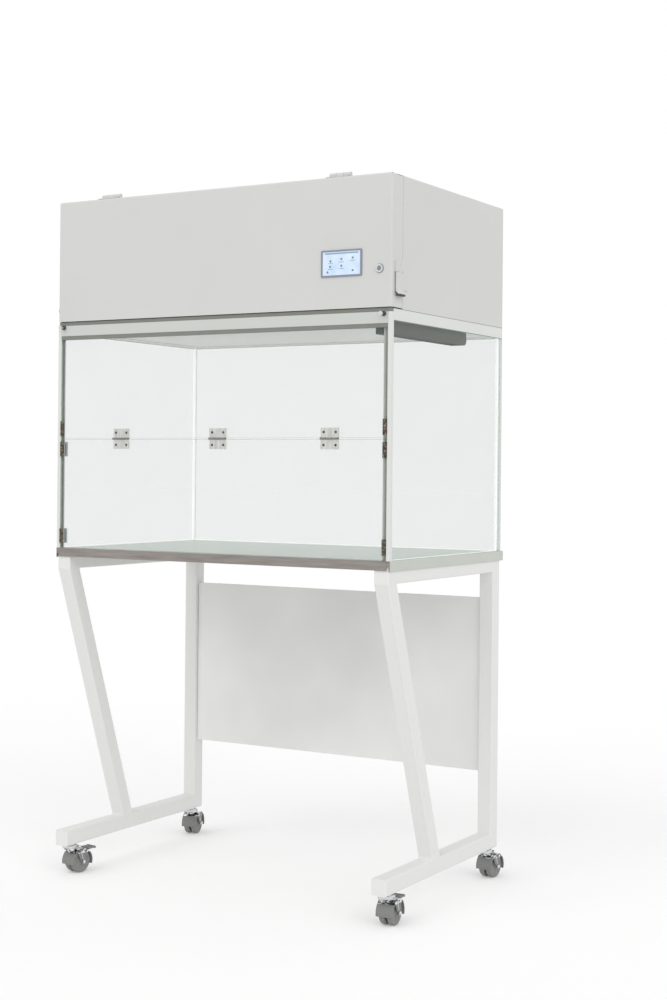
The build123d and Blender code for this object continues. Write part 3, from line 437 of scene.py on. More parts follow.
finishes["chrome"] = plated("chrome_plating", tone(214, 216, 218), 0.08, 0.12,
                            tone(196, 198, 200))
finishes["dark_screw"] = plated("blackened_steel", tone(76, 75, 73), 0.32, 0.2,
                                tone(120, 118, 114))
clip_metal = plated("bronzed_clips", tone(70, 64, 56), 0.3, 0.2, tone(178, 166, 146))
dark_chrome = plated("worn_lock_plug", tone(156, 157, 155), 0.16, 0.12, tone(122, 123, 121))
print("plated:", clip_metal.material.name, dark_chrome.material.name)

# %% [markdown]
# ## Toughened glass
#
# A six millimetre pane is almost clear face on.  Its green shows where light has to travel a
# long way inside it, which is along the ground edges.  Real refraction would be slow here and
# would hide the chamber, so the pane is mostly see-through by its alpha.  A mask, made from the
# distance to the pane's own outline, turns the last millimetre greener and denser.  At a grazing
# angle a pane hides more of what is behind it, and Layer Weight adds that.


# %% Glass
def pane_glass(name, node, clear=0.075, rim=0.0011):
    """Clear glass for one pane, denser and greener along the pane's own edges."""
    low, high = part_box(node)
    centre, half = (low + high) / 2, (high - low) / 2
    thin = min(range(3), key=lambda axis: half[axis])
    glass = Finish(name, IOR=1.5, Specular_IOR_Level=0.7)
    first, second = (abs(glass.along("XYZ"[axis], centre)) > half[axis] - rim
                     for axis in range(3) if axis != thin)
    edge = larger(first, second)
    facing = glass.node("ShaderNodeLayerWeight", {}, {"Blend": 0.5}, "Facing")
    film = glass.noise(0.12, detail=3.0)
    glass.set(
        Base_Color=glass.blend(edge, tone(196, 206, 203), tone(172, 194, 182)),
        Alpha=clear + 0.02 * film + 0.5 * facing ** 5.0 + 0.4 * edge,
        Roughness=0.02 + 0.05 * film,
        Normal=glass.bump(film, 0.00002),
    )
    return glass


panes = ("left_side_glass", "right_side_glass", "rear_glass", "upper_sash", "lower_sash")
pane_finishes = {node: pane_glass(node + "_glass", node) for node in panes}
print("panes:", len(pane_finishes))

# %% [markdown]
# ## Rubber, plastic, paper
#
# Moulded plastic has a fine leathery grain that hides sink marks.  Rubber is duller and picks up
# dust.  Filter paper and fleece are mats of fibre.  Voronoi cells make the grain, because they
# are round like the pits of a mould, and noise stretched both ways makes the fibres.


# %% Soft and moulded finishes
def moulded(name, colour, rough=0.45, grain=0.0009, dusty=0.12):
    """Plastic or rubber with a grain of fine pits, and dust on it."""
    plastic = Finish(name, Specular_IOR_Level=0.4)
    pits = plastic.node("ShaderNodeTexVoronoi", {},
                        {"Vector": plastic.place(), "Scale": 1 / grain})
    dust = plastic.noise(0.025, detail=4.0)
    pale = tuple(c * (1 - dusty) + 0.4 * dusty for c in colour[:3]) + (1.0,)
    plastic.set(
        Base_Color=plastic.blend(plastic.ramp(dust, 0.4, 0.75), colour, pale),
        Roughness=rough + 0.15 * dust,
        Normal=plastic.bump(pits, 0.00003),
    )
    return plastic


def fibrous(name, colour, fibre=0.0012, depth=0.00025):
    """A mat of fibres that lie both ways."""
    mat = Finish(name, Specular_IOR_Level=0.2)
    first = mat.noise(fibre, (0.2, 1, 1), detail=4.0)
    second = mat.noise(fibre, (1, 0.2, 1), detail=4.0)
    fibres = 0.5 * first + 0.5 * second
    mat.set(
        Base_Color=mat.blend(mat.ramp(fibres, 0.35, 0.65), shade(colour, 0.8), colour),
        Roughness=0.85 + 0.1 * fibres,
        Normal=mat.bump(fibres, depth),
    )
    return mat


castor_grey = tone(132, 132, 131)
finishes["castor_plastic"] = moulded("castor_nylon", castor_grey)
finishes["castor_tread"] = moulded("castor_tread", tone(140, 140, 139), rough=0.6, dusty=0.15)
# The seals' grey; on the housing seam the same grey is painted shade.
finishes["gasket"] = moulded("sealing_strip", tone(132, 135, 127), rough=0.7)
finishes["bezel"] = moulded("display_surround", tone(138, 144, 160), rough=0.3, dusty=0.03)
finishes["inlet_plastic"] = moulded("inlet_plastic", tone(34, 34, 35), rough=0.4, dusty=0.05)
finishes["filter_paper"] = fibrous("filter_paper", tone(240, 240, 236))
finishes["prefilter_fleece"] = fibrous("prefilter_fleece", tone(206, 214, 218), fibre=0.003)
# Dark rubber for the stay pin bushes; on the latch pads the same dark is painted shadow.
dark_rubber = moulded("dark_rubber", tone(70, 71, 68), rough=0.6, dusty=0.06)
foam_rubber = moulded("foam_rubber", tone(134, 136, 128), rough=0.8, grain=0.0016, dusty=0.1)
print("finishes so far:", len(finishes))

# %% [markdown]
# ## Castor forks
#
# A castor's fork is grey nylon with a chromed cap pressed over its crown.  The cap follows the
# crown so closely that a second shell would fight with it for the same surface.  So a mask on
# the height gives the crown the chrome, and broad noise with hard steps paints a reflection on
# it: dark patches for a dark floor and pale ones for the white room that curved chrome mirrors.


# %% Fork finish
def capped_fork(name, cap_level, nylon, chrome, reflected_dark):
    """A nylon fork whose crown, above a level, wears a chromed cap with a painted reflection."""
    fork = Finish(name, Specular_IOR_Level=0.5)
    cap = fork.along("Z") > cap_level
    pits = fork.noise(0.0012, detail=2.0)
    # Painted reflection: hard-stepped noise picks dark and pale patches on the chrome cap.
    painted_reflection_mask = fork.ramp(fork.noise(0.009, (1, 1, 1.6), detail=1.0), 0.42, 0.58)
    fork.set(
        Base_Color=fork.blend(cap, nylon, fork.blend(painted_reflection_mask, reflected_dark, chrome)),
        Metallic=cap,
        Roughness=0.5 - 0.34 * cap + 0.1 * pits,
        Normal=fork.bump(pits, 0.00002),
    )
    return fork


fork_finish = capped_fork("castor_fork", 53 * MM, castor_grey, tone(236, 237, 238),
                          tone(104, 105, 106))
print("fork finish:", fork_finish.material.name)

# %% [markdown]
# ## The display and the lamp tube
#
# A backlit display gives off a little light of its own.  The picture is a soft blue that drifts
# paler in places, and the same colour feeds its paint and its light, so that it reads as lit
# without glowing.  The lamp is off, so its tube is milky glass.

# %% Display and lamp tube
screen_low, screen_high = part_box("display_screen")
screen = Finish("display_picture", Roughness=0.18, Emission_Strength=0.25)
drift = screen.ramp(screen.noise(0.035, detail=1.0), 0.3, 0.7)
picture = screen.blend(drift, tone(184, 206, 228), tone(210, 222, 240))
screen.set(Base_Color=picture, Emission_Color=picture)
finishes["screen"] = screen

tube = Finish("milky_lamp_glass", Roughness=0.15)
tube.set(Base_Color=tube.blend(tube.noise(0.02), tone(226, 230, 232), tone(238, 240, 240)))
finishes["lamp_glass"] = tube
print("screen", [round(v, 3) for v in screen_high - screen_low])

# %% [markdown]
# ## Every solid gets its finish
#
# The record names a finish for each solid, so one loop dresses them all.  A few have one of
# their own: the panes, whose green edge follows their outline, the steel and the forks that
# change along their way, with painted shade and a painted reflection, and the painted parts that
# are not quite the housing's white, where the header, the panel and the rear posts carry painted
# light and shade.

# %% Finishes on the solids
special = {
    **pane_finishes,
    **{name + "_fork": fork_finish for name in castor_names},
    "upper_hinge_leaves": hinge_steel, "lower_hinge_leaves": hinge_steel,
    "header": header_coat_painted_shade, "front_posts": post_coat, "top_frame": post_coat,
    "modesty_panel": panel_coat_painted_light_and_shade, "rear_posts": ceiling_coat_painted_light, "worktop": worktop_steel,
    "catch_magnets": finishes["galvanised"], "lock_plug": dark_chrome,
    "upper_sash_clips": clip_metal, "catch_plates": clip_metal,
}
for node, thing in frame["nodes"].items():
    finish = special.get(node) or finishes[slot_of[node]]
    thing.data.materials.clear()
    thing.data.materials.append(finish.material)
print("finished:", len(frame["nodes"]), "of them special:", len(special))

# %% [markdown]
# ## How new pieces are made
#
# A piece starts as a bmesh, Blender's editable mesh.  Small parts are shaped round the origin,
# where round and flat shapes are easy to make, then turned and moved to their place, and a piece
# may hold many of them.  The object itself stays at the origin and rides on the body that
# carries it, so that it moves with a joint as the solids do.


# %% Placing and joining
def aim(place, direction, across=None):
    """A matrix that takes +Z to a direction and the origin to a place."""
    z_axis = Vector(direction).normalized()
    x_axis = Vector(across) if across else z_axis.orthogonal()
    x_axis = (x_axis - z_axis * x_axis.dot(z_axis)).normalized()
    y_axis = z_axis.cross(x_axis)
    return Matrix.Translation(place) @ Matrix((x_axis, y_axis, z_axis)).transposed().to_4x4()


def add(whole, part, matrix):
    """Moves a small part to its place and joins it to a piece."""
    bmesh.ops.transform(part, matrix=matrix, verts=part.verts)
    carrier = bpy.data.meshes.new("carrier")
    part.to_mesh(carrier)
    part.free()
    whole.from_mesh(carrier)
    bpy.data.meshes.remove(carrier)


print("aimed to the rear:", [round(v) for v in aim((0, 0, 0), (0, 1, 0)).col[2]])


# %% Round and flat parts
def spun(outline, steps, closed=False):
    """A round part from an outline of (radius, height) points, spun about Z."""
    part = bmesh.new()
    points = [part.verts.new((radius, 0, height)) for radius, height in outline]
    lines = [part.edges.new(pair) for pair in zip(points, points[1:])]
    if closed:
        lines.append(part.edges.new((points[-1], points[0])))
    bmesh.ops.spin(part, geom=points + lines, cent=(0, 0, 0), axis=(0, 0, 1), angle=2 * pi,
                   steps=steps, use_merge=True)
    bmesh.ops.remove_doubles(part, verts=part.verts, dist=1e-6)
    bmesh.ops.recalc_face_normals(part, faces=part.faces)
    return part


def plate(length, width, thick, corner=0.0, edge=0.0, corner_steps=4):
    """A flat plate lying on Z = 0, with rounded corners and a softened upper edge."""
    part = bmesh.new()
    bmesh.ops.create_cube(part, size=1.0)
    bmesh.ops.scale(part, vec=(length, width, thick), verts=part.verts)
    bmesh.ops.translate(part, vec=(0, 0, thick / 2), verts=part.verts)
    if corner:
        uprights = [e for e in part.edges if abs(e.verts[0].co.z - e.verts[1].co.z) > thick / 2]
        bmesh.ops.bevel(part, geom=uprights, offset=corner, affect="EDGES", segments=corner_steps,
                        profile=0.5, material=-1)
    if edge:
        rim = [e for e in part.edges if all(v.co.z > thick * 0.99 for v in e.verts)]
        bmesh.ops.bevel(part, geom=rim, offset=edge, affect="EDGES", segments=2, profile=0.5,
                        material=-1)
    return part


sample = plate(4 * MM, 2 * MM, 1 * MM, corner=0.5 * MM)
print("a plate with round corners has", len(sample.faces), "faces")
sample.free()


# %% From bmesh to object
def finish_piece(whole, name, body, slot, finish=None, crease=35):
    """Turns a bmesh into an object with a finish, riding on a body."""
    mesh = bpy.data.meshes.new(name)
    whole.to_mesh(mesh)
    whole.free()
    mesh.materials.append((finish or finishes[slot]).material)
    mesh.polygons.foreach_set("use_smooth", [True] * len(mesh.polygons))
    mesh.set_sharp_from_angle(angle=radians(crease))
    piece = bpy.data.objects.new(name, mesh)
    bpy.context.scene.collection.objects.link(piece)
    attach(piece, body)
    print(name, len(mesh.polygons), "faces")
    return piece

# %% [markdown]
# ## Screws
#
# The dark screws on the hinges and clips are low domes with a driver recess.  A real recess is
# pressed into the head, so the outline goes over the rim and down into the middle before it is
# spun.  A six-sided recess would take a second shape; at this size a round pocket reads the
# same.

# %% Screw heads
forward, rightward, upward = (0, -1, 0), (1, 0, 0), (0, 0, 1)
sides = (-1, 1)


def screw(radius, height=0.9 * MM):
    """A domed head with a driver recess, standing on Z = 0."""
    outline = [(0, height * 0.45), (radius * 0.30, height * 0.45), (radius * 0.40, height * 0.97),
               (radius * 0.70, height), (radius * 0.92, height * 0.62), (radius, height * 0.25),
               (radius, 0), (0, 0)]
    return spun(outline, 18)


def screws(name, body, places, direction, slot="dark_screw", radius=3.3 * MM):
    """A set of screw heads on one body."""
    whole = bmesh.new()
    for place in places:
        add(whole, screw(radius), aim(place, direction))
    return finish_piece(whole, name, body, slot)


# %% Screws of the hinges
hinge_low, hinge_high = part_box("upper_hinge_leaves")
half_hinge, middle_hinge = 25 * MM, 12 * MM
hinge_middles = (hinge_low.x + half_hinge, middle_hinge, hinge_high.x - half_hinge)
screw_row, screw_spread = 15.6 * MM, 50 * MM / 3
pane_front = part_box("upper_sash")[0].y
hinge_face = pane_front - 2 * MM


def hinge_row(level):
    """The places of two screws on each hinge, at one level."""
    return [(x + side * screw_spread, hinge_face, level) for x in hinge_middles for side in sides]


fixed_places = hinge_row(seam + screw_row)
moving_places = hinge_row(seam - screw_row)
print("hinge screws:", len(fixed_places), "and", len(moving_places))

# %% Screws of the clips and catch plates
clip_face, clip_spread = pane_front - 3 * MM, 9.5 * MM
clip_low, clip_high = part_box("upper_sash_clips")
plate_low, plate_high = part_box("catch_plates")
half_clip, half_catch = 5.25 * MM, 19 * MM
clip_x = clip_high.x - half_clip


def clip_pair(x, level):
    """The places of two screws, one above the other."""
    return [(x, clip_face, level + side * clip_spread) for side in sides]


for side in sides:
    fixed_places += clip_pair(side * clip_x, (clip_low.z + clip_high.z) / 2)
    for level in (plate_low.z + half_catch, plate_high.z - half_catch):
        moving_places += clip_pair(side * clip_x, level)

fixed_screws = screws("cabinet_screw_heads", "cabinet", fixed_places, forward)
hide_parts("cabinet_screws")
moving_screws = screws("sash_screw_heads", "sash", moving_places, forward)
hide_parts("sash_screws")

# %% [markdown]
# ## Castor wheels
#
# A twin-wheel castor has two narrow wheels of moulded nylon, with a rounded tread and a dished
# face.  A wheel could be a cylinder with bevels, but a moulded one has a shoulder and a hub too.
# So it is turned from an outline, like the mould itself, and the outline is closed so that the
# ring has no open side.

# %% Wheels
wheel_half_side = [(4.15, 9.6), (8.2, 9.6), (9.0, 8.6), (9.6, 7.0), (12.0, 6.2), (19.5, 6.0),
                   (22.0, 7.4), (23.2, 9.6), (24.6, 10.0), (26.6, 9.6), (28.4, 8.2),
                   (29.5, 5.8), (30.0, 2.6)]
wheel_slim = 0.8
wheel_offset = 10.5 * MM


def wheel():
    """One wheel about Z, the same on both sides."""
    outline = wheel_half_side + [(radius, -height) for radius, height in
                                 reversed(wheel_half_side)]
    return spun([(radius * MM, wheel_slim * height * MM) for radius, height in outline], 72,
                closed=True)


for name in castor_names:
    axle = Vector(joints[name + "_roll"]["axis"])
    centre = middle(name + "_wheels")
    whole = bmesh.new()
    for side in sides:
        add(whole, wheel(), aim(centre + axle * side * wheel_offset, axle))
    pair = finish_piece(whole, name + "_twin_wheels", name + "_wheel_pair", "castor_tread")
    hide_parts(name + "_wheels")

# %% [markdown]
# ## Races, nuts and ribs
#
# A chromed ball race lets the fork swivel, acorn nuts close the axle, and a bright chrome strip
# on each arm is a painted highlight, the highlight along the arm's edge.  They are made as one
# piece, since they turn together with the fork.  The nut is a six-sided cylinder with its upper
# rim bevelled and a dome set on it, as real ones are made.

# %% Races, nuts and ribs
race_outline = [(10.5, 76.6), (14.6, 77.6), (17.6, 77.2), (19.2, 75.6), (19.6, 72.6),
                (18.9, 69.6), (17.2, 68.4), (17.2, 76.0), (10.5, 76.0)]
dome_outline = [(4.3, 2.4), (4.0, 3.8), (2.8, 4.9), (0, 5.4)]
nut_radius, nut_tall = 5.6 * MM, 2.6 * MM
nut_seat, rib_seat = 24.6 * MM, 22.4 * MM
rib_wide, rib_thick = 2.6 * MM, 1.3 * MM
rib_foot, rib_head, rib_lean = 6 * MM, 31 * MM, 9 * MM


def in_metres(outline):
    """An outline that is written in millimetres."""
    return [(radius * MM, height * MM) for radius, height in outline]


def acorn_nut():
    """A hexagon nut with a domed cap, standing on Z = 0."""
    nut = bmesh.new()
    bmesh.ops.create_cone(nut, cap_ends=True, segments=6, radius1=nut_radius,
                          radius2=nut_radius, depth=nut_tall)
    bmesh.ops.translate(nut, vec=(0, 0, nut_tall / 2), verts=nut.verts)
    rim = [e for e in nut.edges if all(v.co.z > nut_tall - 0.1 * MM for v in e.verts)]
    bmesh.ops.bevel(nut, geom=rim, offset=0.5 * MM, affect="EDGES", segments=2, profile=0.5,
                    material=-1)
    add(nut, spun(in_metres(dome_outline), 24), Matrix())
    return nut


for name in castor_names:
    axle = Vector(joints[name + "_roll"]["axis"])
    trail = Vector((-axle.y, axle.x, 0))
    stem = joints[name + "_swivel"]["pos_m"]
    centre = middle(name + "_wheels")
    bright = bmesh.new()
    add(bright, spun(in_metres(race_outline), 48, closed=True),
        Matrix.Translation((stem[0], stem[1], 0)))
    for side in sides:
        outward = axle * side
        add(bright, acorn_nut(), aim(centre + outward * nut_seat, outward))
        arm = centre + outward * rib_seat
        foot = arm + Vector((0, 0, rib_foot))
        head = arm - trail * rib_lean + Vector((0, 0, rib_head))
        # The rib is a painted highlight, a chrome strip along the arm's edge.
        highlight_rib = plate(rib_wide, (head - foot).length, rib_thick, edge=0.5 * MM)
        add(bright, highlight_rib, aim((head + foot) / 2, outward, (head - foot).cross(outward)))
    finish_piece(bright, name + "_race_and_nuts", name + "_castor", "chrome")

# %% [markdown]
# ## The picture on the display
#
# The display shows a plain set of round buttons under a status bar.  They could be drawn in the
# display's own material, but a pattern of masks blurs when one looks close.  So each is a very
# thin plate that stands a hair in front of the glass and stays sharp.

# %% Icons
screen_middle = (screen_low + screen_high) / 2
screen_face = screen_low.y - 0.05 * MM
icon_thick = 0.15 * MM
button_places = ((-30, 6), (0, 10), (31, 12), (-31, -7), (0, -6), (31, -18), (-38, -20))
bar_rows = ((0, 24, 92, 3.2), (-30, 0.5, 13, 1.4), (0, 3.0, 13, 1.4), (31, 5.5, 13, 1.4),
            (-31, -13, 13, 1.4), (0, -12.5, 13, 1.4))


def on_screen(across, up):
    """A matrix for a plate so many millimetres from the middle of the display."""
    return aim((screen_middle.x + across * MM, screen_face, screen_middle.z + up * MM), forward,
               rightward)


def print_tone(name, lumps, first, second):
    """Matt colour that drifts between two tones."""
    ink = Finish(name, Roughness=0.3)
    ink.set(Base_Color=ink.blend(ink.noise(lumps), first, second))
    return ink


buttons = bmesh.new()
for across, up in button_places:
    disc = spun([(0, icon_thick), (2.5 * MM, icon_thick), (2.8 * MM, 0), (0, 0)], 24)
    add(buttons, disc, on_screen(across, up))
finish_piece(buttons, "display_buttons", "cover", "screen",
             print_tone("display_icons", 0.02, tone(96, 112, 140), tone(136, 162, 168)))

bars = bmesh.new()
for across, up, long, high in bar_rows:
    add(bars, plate(long * MM, high * MM, icon_thick, corner=0.6 * MM), on_screen(across, up))
finish_piece(bars, "display_bars", "cover", "screen",
             print_tone("display_bars", 0.01, tone(132, 158, 186), tone(150, 176, 200)))

# %% [markdown]
# ## Weld beads on the stand
#
# The stand's tubes are welded where they meet.  A weld is a row of small overlapping ripples, so
# the bead is a thin tube whose girth swells and shrinks along its length.  A circle is extruded
# step by step, and each new ring is drawn to its own girth.


# %% Weld beads
def bead(start, end, radius=2.4 * MM, ripple=2.2 * MM):
    """A rippled weld bead that stands up from Z = 0, and its place between two points."""
    start, end = Vector(start), Vector(end)
    length = (end - start).length
    steps = max(4, int(length / (ripple / 2)))
    part = bmesh.new()
    bmesh.ops.create_circle(part, cap_ends=True, segments=10, radius=radius * 0.7)
    edges = part.edges[:]
    for step in range(steps):
        grown = bmesh.ops.extrude_edge_only(part, edges=edges)["geom"]
        ring = [g for g in grown if isinstance(g, bmesh.types.BMVert)]
        edges = [g for g in grown if isinstance(g, bmesh.types.BMEdge)]
        bmesh.ops.translate(part, vec=(0, 0, length / steps), verts=ring)
        girth = radius * (1.0 if step % 2 == 0 else 0.82)
        for vert in ring:
            vert.co.x, vert.co.y = vert.co.xy.normalized() * girth
    bmesh.ops.contextual_create(part, geom=edges)
    bmesh.ops.recalc_face_normals(part, faces=part.faces)
    return part, aim(start, end - start)


frame_low, frame_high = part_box("right_side_frame")
tube_size, leg_rake, leg_depth = 40 * MM, 240 * MM, 42.35 * MM
weld_inset, weld_lift = 3 * MM, 0.8 * MM
lower_top = frame_low.z + tube_size
upper_bottom = frame_high.z - tube_size
foot_front, rear_leg = frame_low.y + leg_rake, frame_high.y - tube_size
bead_lines = (
    (foot_front, lower_top), (foot_front + leg_depth, lower_top),
    (frame_low.y + leg_depth, upper_bottom), (rear_leg, lower_top), (rear_leg, upper_bottom),
)
welds = bmesh.new()
for side in sides:
    inner, outer = side * (frame_low.x + weld_inset), side * (frame_high.x - weld_inset)
    for y, level in bead_lines:
        z = level + (weld_lift if level == lower_top else -weld_lift)
        add(welds, *bead((inner, y, z), (outer, y, z)))
finish_piece(welds, "stand_weld_beads", "cabinet", "stand_paint")

# %% [markdown]
# ## Seals between the panes
#
# The fixed panes are bedded in clear silicone.  A fillet of it shows as a bright line inside
# each rear corner and as a thin one along the foot of the panes.  The fillets glow a little,
# though they are no lamp: the emission is a painted highlight that makes the lines bright.

# %% Silicone fillets
# Painted highlight: a little emission makes the fillets glow, though they are no lamp.
glowing_silicone = Finish("clear_silicone", Roughness=0.35, Emission_Color=(1, 1, 1, 1),
                  Emission_Strength=0.45)
glowing_silicone.set(Base_Color=glowing_silicone.blend(glowing_silicone.noise(0.02), tone(232, 236, 233),
                                       tone(246, 248, 245)))
rear_low, rear_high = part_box("rear_glass")
side_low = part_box("right_side_glass")[0]
foot_wide, foot_tall, foot_edge = 2.4 * MM, 2.0 * MM, 0.8 * MM
corner_wide, corner_thick, corner_edge = 4.0 * MM, 7.0 * MM, 1.6 * MM
corner_gap, end_gap = 6 * MM, 2 * MM
pane_tall = rear_high.z - rear_low.z - end_gap
pane_long = rear_low.y - side_low.y - 8 * MM
corner_y = rear_low.y - corner_gap - corner_wide / 2
side_foot_y = (side_low.y + rear_low.y) / 2 - 3 * MM
rearward = (0, 1, 0)

fillets = bmesh.new()
add(fillets, plate(2 * side_low.x - 2 * end_gap, foot_wide, foot_tall, edge=foot_edge),
    aim((0, rear_low.y - foot_wide / 2, rear_low.z), upward, rightward))
for side in sides:
    inner = side * side_low.x
    add(fillets, plate(corner_wide, pane_tall, corner_thick, edge=corner_edge),
        aim((inner, corner_y, (rear_low.z + rear_high.z) / 2), (-side, 0, 0), rearward))
    add(fillets, plate(pane_long, foot_wide, foot_tall, edge=foot_edge),
        aim((inner - side * foot_wide / 2, side_foot_y, rear_low.z), upward, rearward))
finish_piece(fillets, "silicone_fillets", "cabinet", "gasket", glowing_silicone)

# %% [markdown]
# ## Ceiling
#
# The air comes down through a white sheet with rows of punched holes.  A picture of holes would
# look flat from the worktop, so the holes are real.  A punch repeats one hole over and over, so
# one square tile with its hole is made first, copied into a row and the row into a field.  The
# field's edge is drawn out to the size of the sheet, and the whole gets its thickness at the
# end.

# %% Field of holes
sheet_low, sheet_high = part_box("diffuser")
hole_pitch, hole_radius, hole_sides = 15 * MM, 3.0 * MM, 8
columns, rows = 60, 33
hair = 0.01 * MM


def new_verts(result):
    """The vertices among what an operator made."""
    return [g for g in result["geom"] if isinstance(g, bmesh.types.BMVert)]


sheet = bmesh.new()
bmesh.ops.create_circle(sheet, segments=hole_sides, radius=hole_radius)
for vert in new_verts(bmesh.ops.extrude_edge_only(sheet, edges=sheet.edges[:])):
    reach = hole_pitch / 2 / max(abs(vert.co.x), abs(vert.co.y))
    vert.co.x, vert.co.y = vert.co.x * reach, vert.co.y * reach
for count, step in ((columns, Vector((hole_pitch, 0, 0))), (rows, Vector((0, hole_pitch, 0)))):
    tile = sheet.verts[:] + sheet.edges[:] + sheet.faces[:]
    for number in range(1, count):
        copied = new_verts(bmesh.ops.duplicate(sheet, geom=tile))
        bmesh.ops.translate(sheet, vec=step * number, verts=copied)
    bmesh.ops.remove_doubles(sheet, verts=sheet.verts, dist=hair)
field = Vector(((columns - 1) * hole_pitch, (rows - 1) * hole_pitch, 0))
bmesh.ops.translate(sheet, vec=-field / 2, verts=sheet.verts)
print("holes:", columns * rows)

# %% Edge and thickness of the sheet
half_field = (field + Vector((hole_pitch, hole_pitch, 0))) / 2
half_sheet = (sheet_high - sheet_low) / 2


def on_edge(vert, axis):
    """Whether a vertex lies on the field's edge along X or Y."""
    return abs(vert.co[axis]) > half_field[axis] - hair


edge_lines = [e for e in sheet.edges if e.is_boundary
              and any(all(on_edge(v, axis) for v in e.verts) for axis in (0, 1))]
for vert in new_verts(bmesh.ops.extrude_edge_only(sheet, edges=edge_lines)):
    for axis in (0, 1):
        if on_edge(vert, axis):
            vert.co[axis] = half_sheet[axis] if vert.co[axis] > 0 else -half_sheet[axis]
bmesh.ops.recalc_face_normals(sheet, faces=sheet.faces)
bmesh.ops.solidify(sheet, geom=sheet.faces[:], thickness=sheet_high.z - sheet_low.z)
bmesh.ops.recalc_face_normals(sheet, faces=sheet.faces)
lowest = min(vert.co.z for vert in sheet.verts)
bmesh.ops.translate(sheet, verts=sheet.verts, vec=(
    (sheet_low.x + sheet_high.x) / 2, (sheet_low.y + sheet_high.y) / 2, sheet_low.z - lowest))
perforated = finish_piece(sheet, "perforated_diffuser", "cabinet", "white_paint", ceiling_coat_painted_light)
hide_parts("diffuser")

# %% [markdown]
# ## Seals and seams round the housing
#
# A foam strip on the header closes the slot under the cover, and its grey is painted shade, the
# shade of that slot.  The housing stands on the top frame, and the joint between them shows as a
# thin dark line, which is painted shade of the seam.  The strip is one soft-edged plate.  The
# line is three very thin dark plates that stand just proud of the metal, because a groove would
# have to be cut into the solids.

# %% Foam strip
header_low, header_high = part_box("header")
cover_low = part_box("front_cover")[0]
frame_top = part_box("top_frame")[1]
foam_tall = cover_low.z - header_high.z - 1 * MM
foam_wide, foam_inset = 8 * MM, 7 * MM
# The strip's grey is painted shade, the shade of the slot under the cover.
foam = plate(2 * frame_top.x - 4 * MM, foam_wide, foam_tall, edge=1.5 * MM)
foam_place = aim((0, header_low.y + foam_inset, header_high.z), upward, rightward)
bmesh.ops.transform(foam, matrix=foam_place, verts=foam.verts)
finish_piece(foam, "cover_foam_strip", "cabinet", "gasket", foam_rubber)

# %% Seam under the housing
seam_high, seam_proud, seam_inset = 1.2 * MM, 0.15 * MM, 6 * MM
seam_from, seam_to = header_high.y + 1 * MM, frame_top.y - 5 * MM
# The thin dark plates are painted shade of the seam under the housing.
seam_lines = bmesh.new()
for side in sides:
    add(seam_lines, plate(seam_to - seam_from, seam_high, seam_proud),
        aim((side * frame_top.x, (seam_from + seam_to) / 2, frame_top.z), (side, 0, 0), rearward))
add(seam_lines, plate(2 * (frame_top.x - seam_inset), seam_high, seam_proud),
    aim((0, frame_top.y, frame_top.z), rearward, rightward))
finish_piece(seam_lines, "housing_seam", "cabinet", "gasket")

# %% [markdown]
# ## The soft edge of the right seal
#
# Beside the lamp housing the sash closes on a wider seal.  Its lip is thin and turns paler
# towards its free edge, where light gets through.  Thin rubber that lets light through is costly
# to trace, and a colour blend along X looks the same from in front.

# %% Right edge seal
gasket_low, gasket_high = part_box("gaskets")
lip_from, lip_to = gasket_high.x - 14 * MM, gasket_high.x - 6 * MM
lip_foot, lip_head = gasket_low.z, gasket_high.z - 10 * MM
lip_thick = 0.5 * MM
lip_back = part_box("upper_sash")[1].y + 0.5 * MM
lip_rubber = Finish("seal_lip", Specular_IOR_Level=0.3)
lip_rubber.set(
    Base_Color=lip_rubber.blend(lip_rubber.ramp(lip_rubber.along("X"), lip_from, lip_to),
                                tone(206, 208, 203), tone(136, 138, 131)),
    Roughness=0.65 + 0.15 * lip_rubber.noise(0.02),
)
lip = plate(lip_to - lip_from, lip_head - lip_foot, lip_thick)
lip_middle = ((lip_from + lip_to) / 2, lip_back, (lip_foot + lip_head) / 2)
bmesh.ops.transform(lip, matrix=aim(lip_middle, forward, rightward), verts=lip.verts)
finish_piece(lip, "right_edge_seal", "cabinet", "gasket", lip_rubber)

# %% [markdown]
# ## Small dark parts
#
# The lock has a dark ring round it, and the stay pins pass through rubber bushes.  Under the lip
# of each side latch a dark pad is painted shadow, the shadow that the lip casts.  Rings and
# bushes are turned from a closed outline.  A pad is a plate with rounded corners and a softened
# rim.

# %% Lock ring and stay pin bushes
lock_middle = middle("lock_body")
ring_outline = [(10.1, 0), (10.1, 1.2), (10.6, 1.3), (11.0, 0.9), (11.2, 0)]
bush_outline = [(3.1, 0), (3.1, 4.6), (5.0, 4.6), (5.9, 3.6), (5.9, 0)]
ring = spun(in_metres(ring_outline), 36, closed=True)
bmesh.ops.transform(ring, matrix=aim((lock_middle.x, cover_low.y, lock_middle.z), forward),
                    verts=ring.verts)
finish_piece(ring, "lock_ring", "cover", "bezel")

pin_low, pin_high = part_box("sash_stay_pins")
pin_radius = 5 * MM
pin_reach, pin_level = pin_high.x - pin_radius, (pin_low.z + pin_high.z) / 2
bushes = bmesh.new()
for side in sides:
    add(bushes, spun(in_metres(bush_outline), 30, closed=True),
        aim((side * pin_reach, header_low.y, pin_level), forward))
finish_piece(bushes, "stay_pin_bushes", "cabinet", "gasket", dark_rubber)

